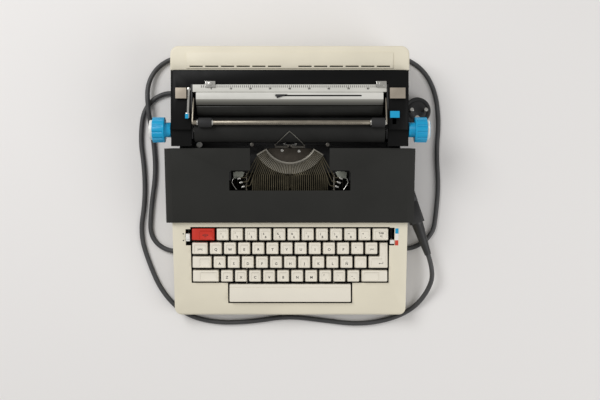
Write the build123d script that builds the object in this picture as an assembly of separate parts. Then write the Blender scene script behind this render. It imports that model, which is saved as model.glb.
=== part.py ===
from build123d import *
import math
import os

# Portable electric typewriter, in millimetres.
# +X is the typist's right, +Y points away from the typist and Z = 0 is the table under the feet.
# The origin is on the table, midway between the platen knobs and between the front and rear edges.

# Case
HOUSING_WIDTH = 315.0
FRONT_MARGIN = 17.95
REAR_COVER_DEPTH = 31.8
HOUSING_WALL = 3.0
HOUSING_CORNER = 10.0
HOUSING_FRONT_Z = 25.0
HOUSING_SLOPE = 12.4
HOUSING_EDGE = 4.0
SKIRT_Z = 12.0
PAN_WIDTH = 300.0
PAN_FLOOR = 2.0
PAN_WALL = 2.0
PAN_RIM_HEIGHT = 9.0
PAN_CORNER = 10.0
FOOT_HEIGHT = 9.0
FOOT_RADIUS = 9.0
FOOT_INSET_X = 44.0
FOOT_INSET_FRONT = 60.0
FOOT_INSET_REAR = 76.0
BOSS_RADIUS = 4.0
SCREW_RADIUS = 1.5
SCREW_HEAD_RADIUS = 3.2
SCREW_HEAD_HEIGHT = 1.8
SEAM = 0.4

# Rear cover
REAR_COVER_TOP_Z = 76.0
REAR_COVER_CORNER = 11.0
REAR_PANEL_WIDTH = 272.0
REAR_PANEL_DEPTH = 21.0
REAR_PANEL_HEIGHT = 1.0
VENT_COUNT = 6
VENT_LENGTH = 17.4
VENT_WIDTH = 1.8
VENT_PITCH = 20.6
VENT_FIRST_X = 20.0
REAR_GAP = 2.8

# Ribbon cover over the type basket
COVER_WIDTH = 331.0
COVER_DEPTH = 98.2
COVER_REAR_Y = 44.9
COVER_FRONT_Z = 61.0
COVER_REAR_Z = 81.0
COVER_WALL = 2.5
COVER_CHAMFER = 9.7
COVER_CHAMFER_DROP = 8.0
COVER_NOSE = 5.0
COVER_SIDE_Z = 40.0
UPPER_WINDOW_WIDTH = 104.4
UPPER_WINDOW_DEPTH = 29.0
LOWER_WINDOW_WIDTH = 160.0
LOWER_WINDOW_DEPTH = 26.3
WINDOW_CORNER = 4.0

# Keyboard
KEY_PITCH = 19.05
ROW_PITCH = 18.9
KEY_GAP = 2.4
KEY_HEIGHT = 7.0
KEY_TAPER = 1.0
KEY_CORNER = 1.5
KEY_STAND = 3.4
KEY_WALL = 1.6
KEY_DISH = 0.9
KEY_DISH_RADIUS = 24.0
KEY_REAR_RIM = 2.6
FIRST_ROW_OFFSET = 15.6
KEYBOARD_UNITS = 14
KEY_WELL_GAP = 1.6
SPACE_BAR_WIDTH = 166.0
SPACE_BAR_DEPTH = 25.6
SPACE_BAR_GAP = 2.6
SPACE_BAR_LEVER_X = 59.5
SPACE_BAR_CREASE = 5.5
CREASE_SIZE = 0.8
LEVER_THICKNESS = 1.6
LEVER_HEIGHT = 4.4
LEVER_DROP = 0.045
FULCRUM_OFFSET = 14.9
FULCRUM_Z = 30.0
FULCRUM_RADIUS = 2.5
PIVOT_GAP = 0.3
BEARING_GAP = 0.05

# Chassis
SIDE_PLATE = 2.0
CHASSIS_WIDTH = 294.0
CHASSIS_TOP_Z = 58.0
KEY_BRACKET = 2.0
KEY_BRACKET_X = 124.0
SPOOL_SHELF = 1.5

# Carriage
CARRIAGE_WIDTH = 309.2
CARRIAGE_DEPTH = 98.1
CARRIAGE_GAP = 2.4
CARRIAGE_TOP_Z = 92.0
CARRIAGE_BOTTOM_Z = 62.0
CARRIAGE_STEP_DEPTH = 21.2
CARRIAGE_STEP_Z = 86.0
CARRIAGE_LIP_DEPTH = 7.0
CARRIAGE_END_WIDTH = 26.6
CARRIAGE_BAR_DEPTH = 17.9
CARRIAGE_EDGE = 4.0
CARRIAGE_WALL = 2.5
END_PLATE = 2.0
RAIL_RADIUS = 4.0
RAIL_Z = 52.0
FRONT_RAIL_OFFSET = 44.0
REAR_RAIL_OFFSET = 82.0
SHOE_LENGTH = 14.0
SHOE_X = 25.0
SHOE_WALL = 3.0
DRUM_RADIUS = 22.0
DRUM_HEIGHT = 12.0
DRUM_X = -110.0

# Platen and paper feed
PLATEN_RADIUS = 16.0
PLATEN_END_GAP = 2.0
PLATEN_INSET = 21.7
PLATEN_Z = 78.0
SHAFT_RADIUS = 4.0
KNOB_RADIUS = 16.5
KNOB_LENGTH = 15.4
KNOB_HUB_RADIUS = 9.8
KNOB_CAP_RADIUS = 13.0
KNOB_CAP_STAND = 4.0
KNOB_END_X = 183.0
KNOB_GRIPS = 12
KNOB_GRIP_DEPTH = 1.2
BUTTON_STROKE = 2.5
POCKET_DEPTH = 6.0
RATCHET_TEETH = 24
RATCHET_RADIUS = 6.0
RATCHET_WIDTH = 3.0
FEED_RADIUS = 4.5
FEED_ANGLE = 30.0
FEED_SHAFT_RADIUS = 2.0
FEED_LENGTH = 22.0
FEED_COUNT = 4
PAPER_GAP = 0.4
TABLE_SHEET = 1.5
TABLE_END_GAP = 4.5
BAIL_BAR_RADIUS = 3.0
BAIL_OFFSET = 8.0
BAIL_ROLLER_RADIUS = 6.15
BAIL_ROLLER_LENGTH = 17.0
BAIL_ROLLER_X = (-109.0, 114.3)
BAIL_PIVOT_Y = 106.0
BAIL_PIVOT_Z = 88.0
BAIL_ARM = 1.5
BAIL_PIN_RADIUS = 2.0

# Scales and stops on the carriage
TRAY_THICKNESS = 2.5
TRAY_FRONT_OFFSET = 33.0
STRIP_TOP_Z = 93.0
STRIP_FRONT_OFFSET = 53.0
STRIP_KNEE_OFFSET = 60.7
STRIP_REAR_OFFSET = 69.5
RAIL_SCALE_TOP_Z = 93.4
STOP_SIZE = (13.0, 8.0, 3.2)
LEFT_STOP_X = -102.7
RIGHT_STOP_X = 118.8
GUIDE_SLOT_X = (-18.7, 93.3)
GUIDE_SLOT_WIDTH = 1.8
TAB_TOP_Z = 98.0
TAB_THICKNESS = 2.5
RELEASE_STAND = 2.6
RELEASE_CAP = 3.5
TAB_DEPTH = 13.8
TAB_PIN_RADIUS = 1.5
LINE_PIN_RADIUS = 1.2

# Type action
BASKET_OFFSET = 19.1
SEGMENT_INNER = 36.0
SEGMENT_OUTER = 52.0
SEGMENT_RIM = 3.0
SEGMENT_TOP_Z = 53.5
SEGMENT_FALL = 1.5
SEGMENT_BOTTOM_Z = 42.0
SEGMENT_PLATE = 3.0
SEGMENT_END_ANGLE = 3.5
TYPEBAR_COUNT = 43
TYPEBAR_FAN = 94.0
TYPEBAR_THICKNESS = 0.7
TYPEBAR_HEIGHT = 3.4
TYPEBAR_PIVOT_RADIUS = 37.0
TYPEBAR_PIN_RADIUS = 0.7
TYPEBAR_SPREAD = 1.5
TYPEBAR_BEND_RADIUS = 56.0
TYPEBAR_BEND_Y = -8.0
TYPEBAR_END_Y = -22.0
TYPEBAR_Z = 51.0
STRIKE_Z = PLATEN_Z
SLOT_WIDTH = 1.0
CENTRE_SLOT = 1.3
RIBBON_SPACE = 2.4
STRIKE_GAP = 0.5
SLUG_SIZE = 6.0
SLUG_WIDTH = 2.2
GUIDE_DEPTH = 3.0
GUIDE_CHEEK = 2.0
GUIDE_TOP_Z = 74.0
CARD_FOOT_X = 19.0
CARD_WIRE_RADIUS = 0.5
CARD_APEX_Y = 66.0
CARD_GAP = 0.9

# Ribbon
RIBBON_HEIGHT = 12.0
RIBBON_Z = 56.0
RIBBON_THICKNESS = 0.4
SPOOL_RADIUS = 21.3
SPOOL_X = 100.0
SPOOL_OFFSET = 20.4
SPOOL_FLANGE = 1.0
SPOOL_PACK_RADIUS = 17.0
SPOOL_POST_RADIUS = 3.0
RIBBON_POST_X = 49.5
RIBBON_POST_RADIUS = 1.5
RIBBON_POST_TOP_Z = 80.0

# Drive
MOTOR_RADIUS = 17.0
MOTOR_LENGTH = 58.0
MOTOR_X = 92.0
MOTOR_OFFSET = 66.1
MOTOR_Z = 30.0
ROLLER_RADIUS = 4.5
ROLLER_OFFSET = 50.9
ROLLER_Z = 19.0
PULLEY_WIDTH = 6.0
PULLEY_X = 131.0
MOTOR_PULLEY_RADIUS = 5.0
ROLLER_PULLEY_RADIUS = 6.0
BELT_THICKNESS = 1.4
BELT_WIDTH = 4.5

# Switches and levers
NOTCH_WIDTH = 6.6
SWITCH_NOTCH = (-15.1, 6.9)
SELECTOR_NOTCH = (-15.1, 8.9)
SWITCH_TRAVEL = 5.0
SELECTOR_TRAVEL = 15.7
SWITCH_SETBACK = 4.1
SELECTOR_SETBACK = 10.1
SLIDER_STEM = 10.0
LOCK_X = -121.0
LOCK_Y = 50.9
LOCK_RADIUS = 3.8
LOCK_STEM_RADIUS = 2.0
LOCK_TOP_Z = 56.5
LOCK_STROKE = 3.0
LOCK_HEAD = 6.0

# Mains inlet, coupler, cord and plug
INLET_FACE = (164.5, -26.0, 20.0)
INLET_TURN = 19.0
INLET_SIZE = (20.0, 16.0, 17.0)
INLET_WALL = 1.8
INLET_DEPTH = 12.0
INLET_PIN_RADIUS = 1.6
INLET_PIN_LENGTH = 9.0
INLET_PIN_SPREAD = 5.0
COUPLER_BODY = 30.0
COUPLER_LENGTH = 76.0
CORD_RADIUS = 3.25
CORD_Z = 3.4
CORD_FIRST_RUN = 26.0
CORD_LAST_RUN = 24.5
PLUG_PLACE = (175.0, 100.0)
PLUG_RADIUS = 18.5
PLUG_HEIGHT = 16.0
PLUG_PIN_RADIUS = 2.4
PLUG_PIN_LENGTH = 19.0
PLUG_PIN_PITCH = 19.0
PLUG_SLEEVE_Z = 5.6
PLUG_SLEEVE_RADIUS = 5.2
PLUG_SLEEVE_REACH = 30.0
PLUG_ENTRY = 44.3

# Places worked out from the sizes above
TALL = 200.0
COVER_FRONT_Y = COVER_REAR_Y - COVER_DEPTH
CARRIAGE_FRONT_Y = COVER_REAR_Y + CARRIAGE_GAP
CARRIAGE_REAR_Y = CARRIAGE_FRONT_Y + CARRIAGE_DEPTH
REAR_COVER_Y = CARRIAGE_REAR_Y + REAR_GAP
REAR_Y = REAR_COVER_Y + REAR_COVER_DEPTH
FIRST_ROW_Y = COVER_FRONT_Y - FIRST_ROW_OFFSET
KEY_DEPTH = ROW_PITCH - KEY_GAP
LAST_ROW_FRONT_Y = FIRST_ROW_Y - 3 * ROW_PITCH - KEY_DEPTH / 2
FRONT_Y = LAST_ROW_FRONT_Y - SPACE_BAR_GAP - SPACE_BAR_DEPTH - FRONT_MARGIN
FULCRUM_Y = COVER_REAR_Y - FULCRUM_OFFSET
BASKET_CENTRE_Y = COVER_REAR_Y + BASKET_OFFSET
SPOOL_Y = COVER_REAR_Y - SPOOL_OFFSET
ROLLER_Y = COVER_REAR_Y - ROLLER_OFFSET
MOTOR_Y = COVER_REAR_Y + MOTOR_OFFSET
SWITCH_Y = FIRST_ROW_Y - SWITCH_SETBACK
TYPEBAR_PIVOT_Y = BASKET_CENTRE_Y - TYPEBAR_PIVOT_RADIUS
SELECTOR_Y = FIRST_ROW_Y - SELECTOR_SETBACK
PLATEN_Y = CARRIAGE_FRONT_Y + PLATEN_INSET
COVER_SLOPE = math.degrees(math.atan2(COVER_REAR_Z - COVER_FRONT_Z, COVER_DEPTH))
END_INNER_X = CARRIAGE_WIDTH / 2 - CARRIAGE_END_WIDTH
PLATE_INNER_X = END_INNER_X - END_PLATE
PLATEN_HALF = PLATE_INNER_X - PLATEN_END_GAP
KEYBOARD_LEFT = -KEYBOARD_UNITS * KEY_PITCH / 2
PAN_TOP_Z = FOOT_HEIGHT + PAN_FLOOR
PAN_FRONT_Y = FRONT_Y + HOUSING_WALL
PAN_REAR_Y = REAR_Y - HOUSING_WALL


def slab(x, y, z):
    """A block between two ends along each axis."""
    centre = Pos((x[0] + x[1]) / 2, (y[0] + y[1]) / 2, (z[0] + z[1]) / 2)
    return centre * Box(x[1] - x[0], y[1] - y[0], z[1] - z[0])


def span(size, middle=0.0):
    """The two ends of a size about its middle."""
    return (middle - size / 2, middle + size / 2)


def rod_x(x, y, z, radius):
    """A round bar along X between two ends."""
    return Pos((x[0] + x[1]) / 2, y, z) * Rot(0, 90, 0) * Cylinder(radius, x[1] - x[0])


def rod_z(x, y, z, radius):
    """A round bar along Z between two ends."""
    return Pos(x, y, (z[0] + z[1]) / 2) * Cylinder(radius, z[1] - z[0])


def side_cut(points, x):
    """A plate between two ends along X, whose outline is given as (Y, Z) corners."""
    face = Plane.YZ.offset(x[0]) * Polygon(*points, align=None)
    return extrude(face, x[1] - x[0], dir=(1, 0, 0))


def plan_cut(points, z):
    """A plate between two heights, whose outline is given as (X, Y) corners."""
    face = Plane.XY.offset(z[0]) * Polygon(*points, align=None)
    return extrude(face, z[1] - z[0], dir=(0, 0, 1))


def mirrored(shape):
    """The same piece on the other side of the machine."""
    return mirror(shape, Plane.YZ)


def both_sides(shape):
    return [shape, mirrored(shape)]


def write(name, *shapes):
    """One STEP file for each sub-part, with every separate piece as a solid of its own."""
    solids = []
    for shape in shapes:
        for item in shape if isinstance(shape, (list, tuple)) else [shape]:
            solids.extend(item.solids())
    export_step(Compound(solids), f"parts/{name}.step")


os.makedirs("parts", exist_ok=True)


def deck_z(y):
    """Height of the sloped keyboard deck."""
    return HOUSING_FRONT_Z + (y - FRONT_Y) * math.tan(math.radians(HOUSING_SLOPE))


def cover_z(y):
    """Height of the sloped top of the ribbon cover."""
    return COVER_FRONT_Z + (y - COVER_FRONT_Y) * math.tan(math.radians(COVER_SLOPE))


# Base pan, feet and screws

DECK_BOSSES = [(x, y) for x in (-145.0, 145.0) for y in (FRONT_Y + 16.0, COVER_FRONT_Y - 6.0)]
REAR_BOSSES = [(x, REAR_Y - 11.0) for x in (-120.0, -40.0, 40.0, 120.0)]
HOUSING_BACK_Y = COVER_FRONT_Y + COVER_WALL + 5.0


def boss(place, top):
    x, y = place
    post = rod_z(x, y, (PAN_TOP_Z, top), BOSS_RADIUS)
    return post - rod_z(x, y, (PAN_TOP_Z, top - HOUSING_WALL), SCREW_RADIUS + BEARING_GAP)


def screw(place, top):
    x, y = place
    head = rod_z(x, y, (FOOT_HEIGHT - SCREW_HEAD_HEIGHT, FOOT_HEIGHT), SCREW_HEAD_RADIUS)
    return head + rod_z(x, y, (FOOT_HEIGHT, top - HOUSING_WALL - 1.0), SCREW_RADIUS)


def boss_top(place):
    if place in REAR_BOSSES:
        return REAR_COVER_TOP_Z - HOUSING_WALL
    return deck_z(place[1] - BOSS_RADIUS) - HOUSING_WALL / math.cos(math.radians(HOUSING_SLOPE))


def base_pan():
    depth = PAN_REAR_Y - PAN_FRONT_Y
    rim_height = PAN_FLOOR + PAN_RIM_HEIGHT
    outer = RectangleRounded(PAN_WIDTH, depth, PAN_CORNER)
    inner = RectangleRounded(PAN_WIDTH - 2 * PAN_WALL, depth - 2 * PAN_WALL, PAN_CORNER - PAN_WALL)
    middle_y = (PAN_REAR_Y + PAN_FRONT_Y) / 2
    pan = extrude(Pos(0, middle_y, FOOT_HEIGHT) * outer, rim_height)
    pan -= extrude(Pos(0, middle_y, PAN_TOP_Z) * inner, rim_height)
    for place in DECK_BOSSES + REAR_BOSSES:
        pan += boss(place, boss_top(place))
        hole = rod_z(place[0], place[1], (FOOT_HEIGHT, PAN_TOP_Z), SCREW_RADIUS + BEARING_GAP)
        pan -= hole
    return pan


def foot_places():
    x = PAN_WIDTH / 2 - FOOT_INSET_X
    return [
        (side * x, y)
        for side in (-1, 1)
        for y in (FRONT_Y + FOOT_INSET_FRONT, REAR_Y - FOOT_INSET_REAR)
    ]


def rubber_foot(place):
    tip = Pos(place[0], place[1], 0) * Cone(
        FOOT_RADIUS - 1.5, FOOT_RADIUS, FOOT_HEIGHT, align=(Align.CENTER, Align.CENTER, Align.MIN)
    )
    return tip


# Keyboard housing


def housing_outline(inset):
    width = HOUSING_WIDTH - 2 * inset
    front = FRONT_Y + inset
    outline = Pos(0, (front + HOUSING_BACK_Y + 40) / 2) * RectangleRounded(
        width, HOUSING_BACK_Y + 40 - front, HOUSING_CORNER - inset / 2
    )
    return extrude(outline, TALL) & slab(span(width), (front, HOUSING_BACK_Y), (SKIRT_Z, TALL))


def housing_side(inset, bottom):
    """Side outline of the deck with its rounded front edge."""
    drop = inset / math.cos(math.radians(HOUSING_SLOPE))
    front = FRONT_Y + inset
    corners = [
        (front, bottom),
        (HOUSING_BACK_Y, bottom),
        (HOUSING_BACK_Y, deck_z(HOUSING_BACK_Y) - drop),
        (front, deck_z(front) - drop),
    ]
    face = Polygon(*corners, align=None)
    nose = face.vertices().sort_by(Axis.X)[:2].sort_by(Axis.Y)[-1]
    face = fillet(nose, HOUSING_EDGE - inset / 2)
    return extrude(Plane.YZ.offset(-HOUSING_WIDTH / 2) * face, HOUSING_WIDTH, dir=(1, 0, 0))


def key_well_y():
    rear = FIRST_ROW_Y + KEY_DEPTH / 2 + KEY_WELL_GAP
    front = LAST_ROW_FRONT_Y - KEY_WELL_GAP
    return (front, rear)


def space_bar_y():
    rear = LAST_ROW_FRONT_Y - SPACE_BAR_GAP
    return (rear - SPACE_BAR_DEPTH, rear)


def keyboard_housing():
    shell = housing_outline(0) & housing_side(0, SKIRT_Z)
    shell -= housing_outline(HOUSING_WALL) & housing_side(HOUSING_WALL, SKIRT_Z - 1)
    well_x = KEYBOARD_UNITS * KEY_PITCH / 2 - KEY_GAP / 2 + KEY_WELL_GAP
    well_y = key_well_y()
    bar_y = space_bar_y()
    cut_z = (SKIRT_Z, TALL)
    shell -= slab((-well_x, well_x), well_y, cut_z)
    bar_x = SPACE_BAR_WIDTH / 2 + KEY_WELL_GAP
    shell -= slab((-bar_x, bar_x), (bar_y[0] - KEY_WELL_GAP, well_y[0]), cut_z)
    for side, notch in ((-1, SWITCH_NOTCH), (1, SELECTOR_NOTCH)):
        notch_x = sorted((side * well_x, side * (well_x + NOTCH_WIDTH)))
        shell -= slab(notch_x, (FIRST_ROW_Y + notch[0], FIRST_ROW_Y + notch[1]), cut_z)
    return shell


# Rear cover


def rear_cover():
    x = span(HOUSING_WIDTH)
    height = (SKIRT_Z, REAR_COVER_TOP_Z)

    def block(inset, z):
        outline = Pos(0, (REAR_COVER_Y - 40 + REAR_Y - inset) / 2) * RectangleRounded(
            HOUSING_WIDTH - 2 * inset, REAR_Y - inset - REAR_COVER_Y + 40, REAR_COVER_CORNER - inset
        )
        body = extrude(Pos(0, 0, z[0]) * outline, z[1] - z[0])
        return body & slab(x, (REAR_COVER_Y + inset, REAR_Y), z)

    cover = block(0, height)
    cover = fillet(cover.edges().group_by(Axis.Z)[-1].sort_by(Axis.Y)[1:], HOUSING_WALL)
    cover -= block(HOUSING_WALL, (SKIRT_Z, REAR_COVER_TOP_Z - HOUSING_WALL))
    arm_z = (SKIRT_Z, CARRIAGE_BOTTOM_Z - SEAM - HOUSING_WALL)
    cover -= slab(span(PAN_WIDTH + SEAM), (REAR_COVER_Y, REAR_COVER_Y + HOUSING_WALL), arm_z)
    panel_y = (REAR_COVER_Y + 1.8, REAR_COVER_Y + 1.8 + REAR_PANEL_DEPTH)
    top = REAR_COVER_TOP_Z
    panel = slab(span(REAR_PANEL_WIDTH), panel_y, (top, top + REAR_PANEL_HEIGHT))
    cover += panel
    vent_y = span(VENT_WIDTH, REAR_COVER_Y + 4.5)
    for side in (-1, 1):
        for number in range(VENT_COUNT):
            middle = side * (VENT_FIRST_X + number * VENT_PITCH)
            cover -= slab(span(VENT_LENGTH, middle), vent_y, (top - 5, top + 5))
    return cover


# Ribbon cover


def cover_block(inset):
    """The cover's solid outer form, or its hollow when inset by the wall."""
    half = COVER_WIDTH / 2 - inset
    top = -inset
    depth = -COVER_REAR_Z
    across = [
        (-half, depth),
        (-half, top - COVER_CHAMFER_DROP),
        (-half + COVER_CHAMFER, top),
        (half - COVER_CHAMFER, top),
        (half, top - COVER_CHAMFER_DROP),
        (half, depth),
    ]
    slope = math.radians(COVER_SLOPE)
    along = Plane(
        origin=(0, COVER_FRONT_Y, COVER_FRONT_Z),
        x_dir=(-1, 0, 0),
        z_dir=(0, math.cos(slope), math.sin(slope)),
    ).offset(-60)
    body = extrude(along * Polygon(*across, align=None), COVER_DEPTH + 120, dir=along.z_dir)
    front = COVER_FRONT_Y + inset
    side = [
        (front, COVER_SIDE_Z - inset),
        (COVER_REAR_Y + inset, COVER_SIDE_Z - inset),
        (COVER_REAR_Y + inset, cover_z(COVER_REAR_Y + inset) + 1),
        (front, cover_z(front) - inset),
    ]
    face = Polygon(*side, align=None)
    nose = face.vertices().sort_by(Axis.X)[:2].sort_by(Axis.Y)[-1]
    face = fillet(nose, COVER_NOSE - inset / 2)
    return body & extrude(Plane.YZ.offset(-half) * face, 2 * half, dir=(1, 0, 0))


def ribbon_cover():
    cover = cover_block(0) - cover_block(COVER_WALL)
    front_bottom = deck_z(COVER_FRONT_Y + COVER_WALL) + SEAM
    cover -= slab(
        span(HOUSING_WIDTH + 2 * SEAM), (COVER_FRONT_Y, HOUSING_BACK_Y), (0, front_bottom)
    )
    upper_y = (COVER_REAR_Y - UPPER_WINDOW_DEPTH, COVER_REAR_Y + 1)
    lower_rear = COVER_REAR_Y - UPPER_WINDOW_DEPTH
    lower_y = (lower_rear - LOWER_WINDOW_DEPTH, lower_rear)
    cover -= slab(span(UPPER_WINDOW_WIDTH), (lower_y[1] - 1, upper_y[1]), (0, TALL))
    window = Rectangle(LOWER_WINDOW_WIDTH, LOWER_WINDOW_DEPTH)
    window = fillet(window.vertices().group_by(Axis.Y)[-1], WINDOW_CORNER)
    cover -= extrude(Pos(0, sum(lower_y) / 2) * window, TALL, dir=(0, 0, 1))
    return cover


# Chassis


def rail_y():
    return (CARRIAGE_FRONT_Y + FRONT_RAIL_OFFSET, CARRIAGE_FRONT_Y + REAR_RAIL_OFFSET)


def side_plate():
    """Side plate that carries the ribbon cover, the rails and the spool shelf."""
    drop = COVER_WALL / math.cos(math.radians(COVER_SLOPE)) + SEAM
    start = HOUSING_BACK_Y + SEAM
    front = start + 4.0
    rear = COVER_REAR_Y - 1.0
    back = REAR_COVER_Y + 12.0
    outline = [
        (start, PAN_TOP_Z),
        (back, PAN_TOP_Z),
        (back, CHASSIS_TOP_Z),
        (rear, CHASSIS_TOP_Z),
        (rear, cover_z(rear) - drop),
        (front, cover_z(front) - drop),
        (start, cover_z(start) - drop - 4.0),
    ]
    inner = CHASSIS_WIDTH / 2 - SIDE_PLATE
    return side_cut(outline, (inner, inner + SIDE_PLATE))


def key_bracket():
    """Upright that holds the key fulcrum rod and the power roller."""
    outline = [
        (ROLLER_Y - 12, PAN_TOP_Z),
        (FULCRUM_Y + 12, PAN_TOP_Z),
        (FULCRUM_Y + 6, FULCRUM_Z + 6),
        (FULCRUM_Y - 6, FULCRUM_Z + 6),
        (ROLLER_Y - 8, ROLLER_Z + 8),
    ]
    plate = side_cut(outline, (KEY_BRACKET_X - KEY_BRACKET, KEY_BRACKET_X))
    return plate - rod_x((0, PULLEY_X), ROLLER_Y, ROLLER_Z, ROLLER_RADIUS + BEARING_GAP)


def spool_shelf():
    inner = SPOOL_X - SPOOL_RADIUS
    y = (SPOOL_Y - SPOOL_RADIUS, SPOOL_Y + SPOOL_RADIUS)
    top = RIBBON_Z - SPOOL_FLANGE - PIVOT_GAP
    shelf = slab((inner, CHASSIS_WIDTH / 2 - SIDE_PLATE), y, (top - SPOOL_SHELF, top))
    post_z = (top, RIBBON_Z + RIBBON_HEIGHT + SPOOL_FLANGE)
    return [shelf, rod_z(SPOOL_X, SPOOL_Y, post_z, SPOOL_POST_RADIUS)]


def segment_bridge():
    """Cross plate between the side plates that the type segment is bolted to."""
    inner = CHASSIS_WIDTH / 2 - SIDE_PLATE
    y = (BASKET_CENTRE_Y - SEGMENT_OUTER + 2, BASKET_CENTRE_Y - 8)
    return slab((-inner, inner), y, (SEGMENT_BOTTOM_Z - SEGMENT_PLATE, SEGMENT_BOTTOM_Z))


def motor_cradle(x):
    outline = [
        (MOTOR_Y - MOTOR_RADIUS - 2, PAN_TOP_Z),
        (MOTOR_Y + MOTOR_RADIUS + 2, PAN_TOP_Z),
        (MOTOR_Y + MOTOR_RADIUS + 2, MOTOR_Z),
        (MOTOR_Y - MOTOR_RADIUS - 2, MOTOR_Z),
    ]
    plate = side_cut(outline, span(6.0, x))
    return plate - rod_x(span(20.0, x), MOTOR_Y, MOTOR_Z, MOTOR_RADIUS + BEARING_GAP)


def drum_post():
    base = rod_z(DRUM_X, MOTOR_Y, (PAN_TOP_Z, PAN_TOP_Z + 6.0), 2 * RAIL_RADIUS)
    pin_top = PAN_TOP_Z + 6.0 + DRUM_HEIGHT + SEAM
    return base + rod_z(DRUM_X, MOTOR_Y, (PAN_TOP_Z + 6.0, pin_top), RAIL_RADIUS)


def chassis_frame():
    inner = CHASSIS_WIDTH / 2 - SIDE_PLATE
    stem = LOCK_STEM_RADIUS + BEARING_GAP
    bridge = segment_bridge() - rod_z(LOCK_X, LOCK_Y, (0, TALL), stem)
    pieces = [bridge]
    for shape in (side_plate(), key_bracket(), *spool_shelf()):
        pieces += both_sides(shape)
    for y in rail_y():
        pieces.append(rod_x((-inner, inner), y, RAIL_Z, RAIL_RADIUS))
    reach = KEY_BRACKET_X - KEY_BRACKET
    pieces.append(rod_x((-reach, reach), FULCRUM_Y, FULCRUM_Z, FULCRUM_RADIUS))
    pieces += [motor_cradle(MOTOR_X - MOTOR_LENGTH / 4), motor_cradle(MOTOR_X + MOTOR_LENGTH / 4)]
    pieces.append(drum_post())
    return pieces


# Type segment and typebars


def fan_angle(number):
    """Angle of a typebar from the straight-ahead one, in radians."""
    return math.radians(TYPEBAR_FAN * (number / (TYPEBAR_COUNT - 1) - 0.5))


def fan_point(angle, radius):
    """Plan position at a radius from the basket centre."""
    return (radius * math.sin(angle), BASKET_CENTRE_Y - radius * math.cos(angle))


def type_segment():
    """Cast segment: a fan of narrow slots cut in a ring sector."""
    slot_floor = TYPEBAR_Z - TYPEBAR_HEIGHT / 2 - TYPEBAR_THICKNESS
    profile = [
        (SEGMENT_INNER, SEGMENT_BOTTOM_Z),
        (SEGMENT_OUTER, SEGMENT_BOTTOM_Z),
        (SEGMENT_OUTER, SEGMENT_TOP_Z - SEGMENT_FALL),
        (SEGMENT_INNER + SEGMENT_RIM, SEGMENT_TOP_Z),
        (SEGMENT_INNER, SEGMENT_TOP_Z),
    ]
    sweep = TYPEBAR_FAN + 2 * SEGMENT_END_ANGLE
    section = Plane.XZ * Polygon(*profile, align=None)
    ring = revolve(section, Axis.Z, revolution_arc=sweep)
    ring = Pos(0, BASKET_CENTRE_Y, 0) * Rot(0, 0, -90 - sweep / 2) * ring
    inner = SEGMENT_INNER + SEGMENT_RIM
    length = SEGMENT_OUTER + 2 - inner
    depth = SEGMENT_TOP_Z + 1 - slot_floor
    slots = []
    for number in range(TYPEBAR_COUNT):
        angle = fan_angle(number)
        x, y = fan_point(angle, inner + length / 2)
        place = Pos(x, y, slot_floor + depth / 2) * Rot(0, 0, math.degrees(angle))
        slots.append(place * Box(SLOT_WIDTH, length, depth))
    centre_y = (TYPEBAR_PIVOT_Y - length, BASKET_CENTRE_Y - SEGMENT_INNER + 1)
    slots.append(slab(span(CENTRE_SLOT), centre_y, (slot_floor, slot_floor + depth)))
    pin = rod_x(span(CENTRE_SLOT + 1.0), TYPEBAR_PIVOT_Y, TYPEBAR_Z, TYPEBAR_PIN_RADIUS)
    return ring - slots + pin


def ribbon_path(points, width):
    """Plan outline of a thin strip bent along a line of points."""
    left = []
    right = []
    for index, (x, y) in enumerate(points):
        before = points[max(index - 1, 0)]
        after = points[min(index + 1, len(points) - 1)]
        length = math.dist(before, after)
        nx = (after[1] - before[1]) / length * width / 2
        ny = -(after[0] - before[0]) / length * width / 2
        left.append((x + nx, y + ny))
        right.append((x - nx, y - ny))
    return left + right[::-1]


def resting_typebar(number):
    """A typebar lying in its slot and bent to run forward beside its neighbours."""
    angle = fan_angle(number)
    root = fan_point(angle, SEGMENT_INNER + SEGMENT_RIM + TYPEBAR_THICKNESS)
    bend = fan_point(angle, TYPEBAR_BEND_RADIUS)
    spread_x = bend[0] * TYPEBAR_SPREAD
    points = [root, bend, (spread_x, TYPEBAR_BEND_Y), (spread_x, TYPEBAR_END_Y)]
    z = span(TYPEBAR_HEIGHT, TYPEBAR_Z)
    bar = plan_cut(ribbon_path(points, TYPEBAR_THICKNESS), z)
    slug_z = (z[0], z[1] + SLUG_SIZE / 3)
    slug_y = (TYPEBAR_END_Y - SLUG_SIZE / 2, TYPEBAR_END_Y)
    return bar + slab(span(SLUG_WIDTH, spread_x), slug_y, slug_z)


def typebars():
    """Every typebar but the centre one, which moves."""
    middle = TYPEBAR_COUNT // 2
    return [resting_typebar(number) for number in range(TYPEBAR_COUNT) if number != middle]


STRIKE_Y = PLATEN_Y - PLATEN_RADIUS - RIBBON_SPACE
TYPEBAR_REACH = math.dist((TYPEBAR_PIVOT_Y, TYPEBAR_Z), (STRIKE_Y, STRIKE_Z))
STRIKE_ANGLE = 180 - math.degrees(math.atan2(STRIKE_Z - TYPEBAR_Z, STRIKE_Y - TYPEBAR_PIVOT_Y))


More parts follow.
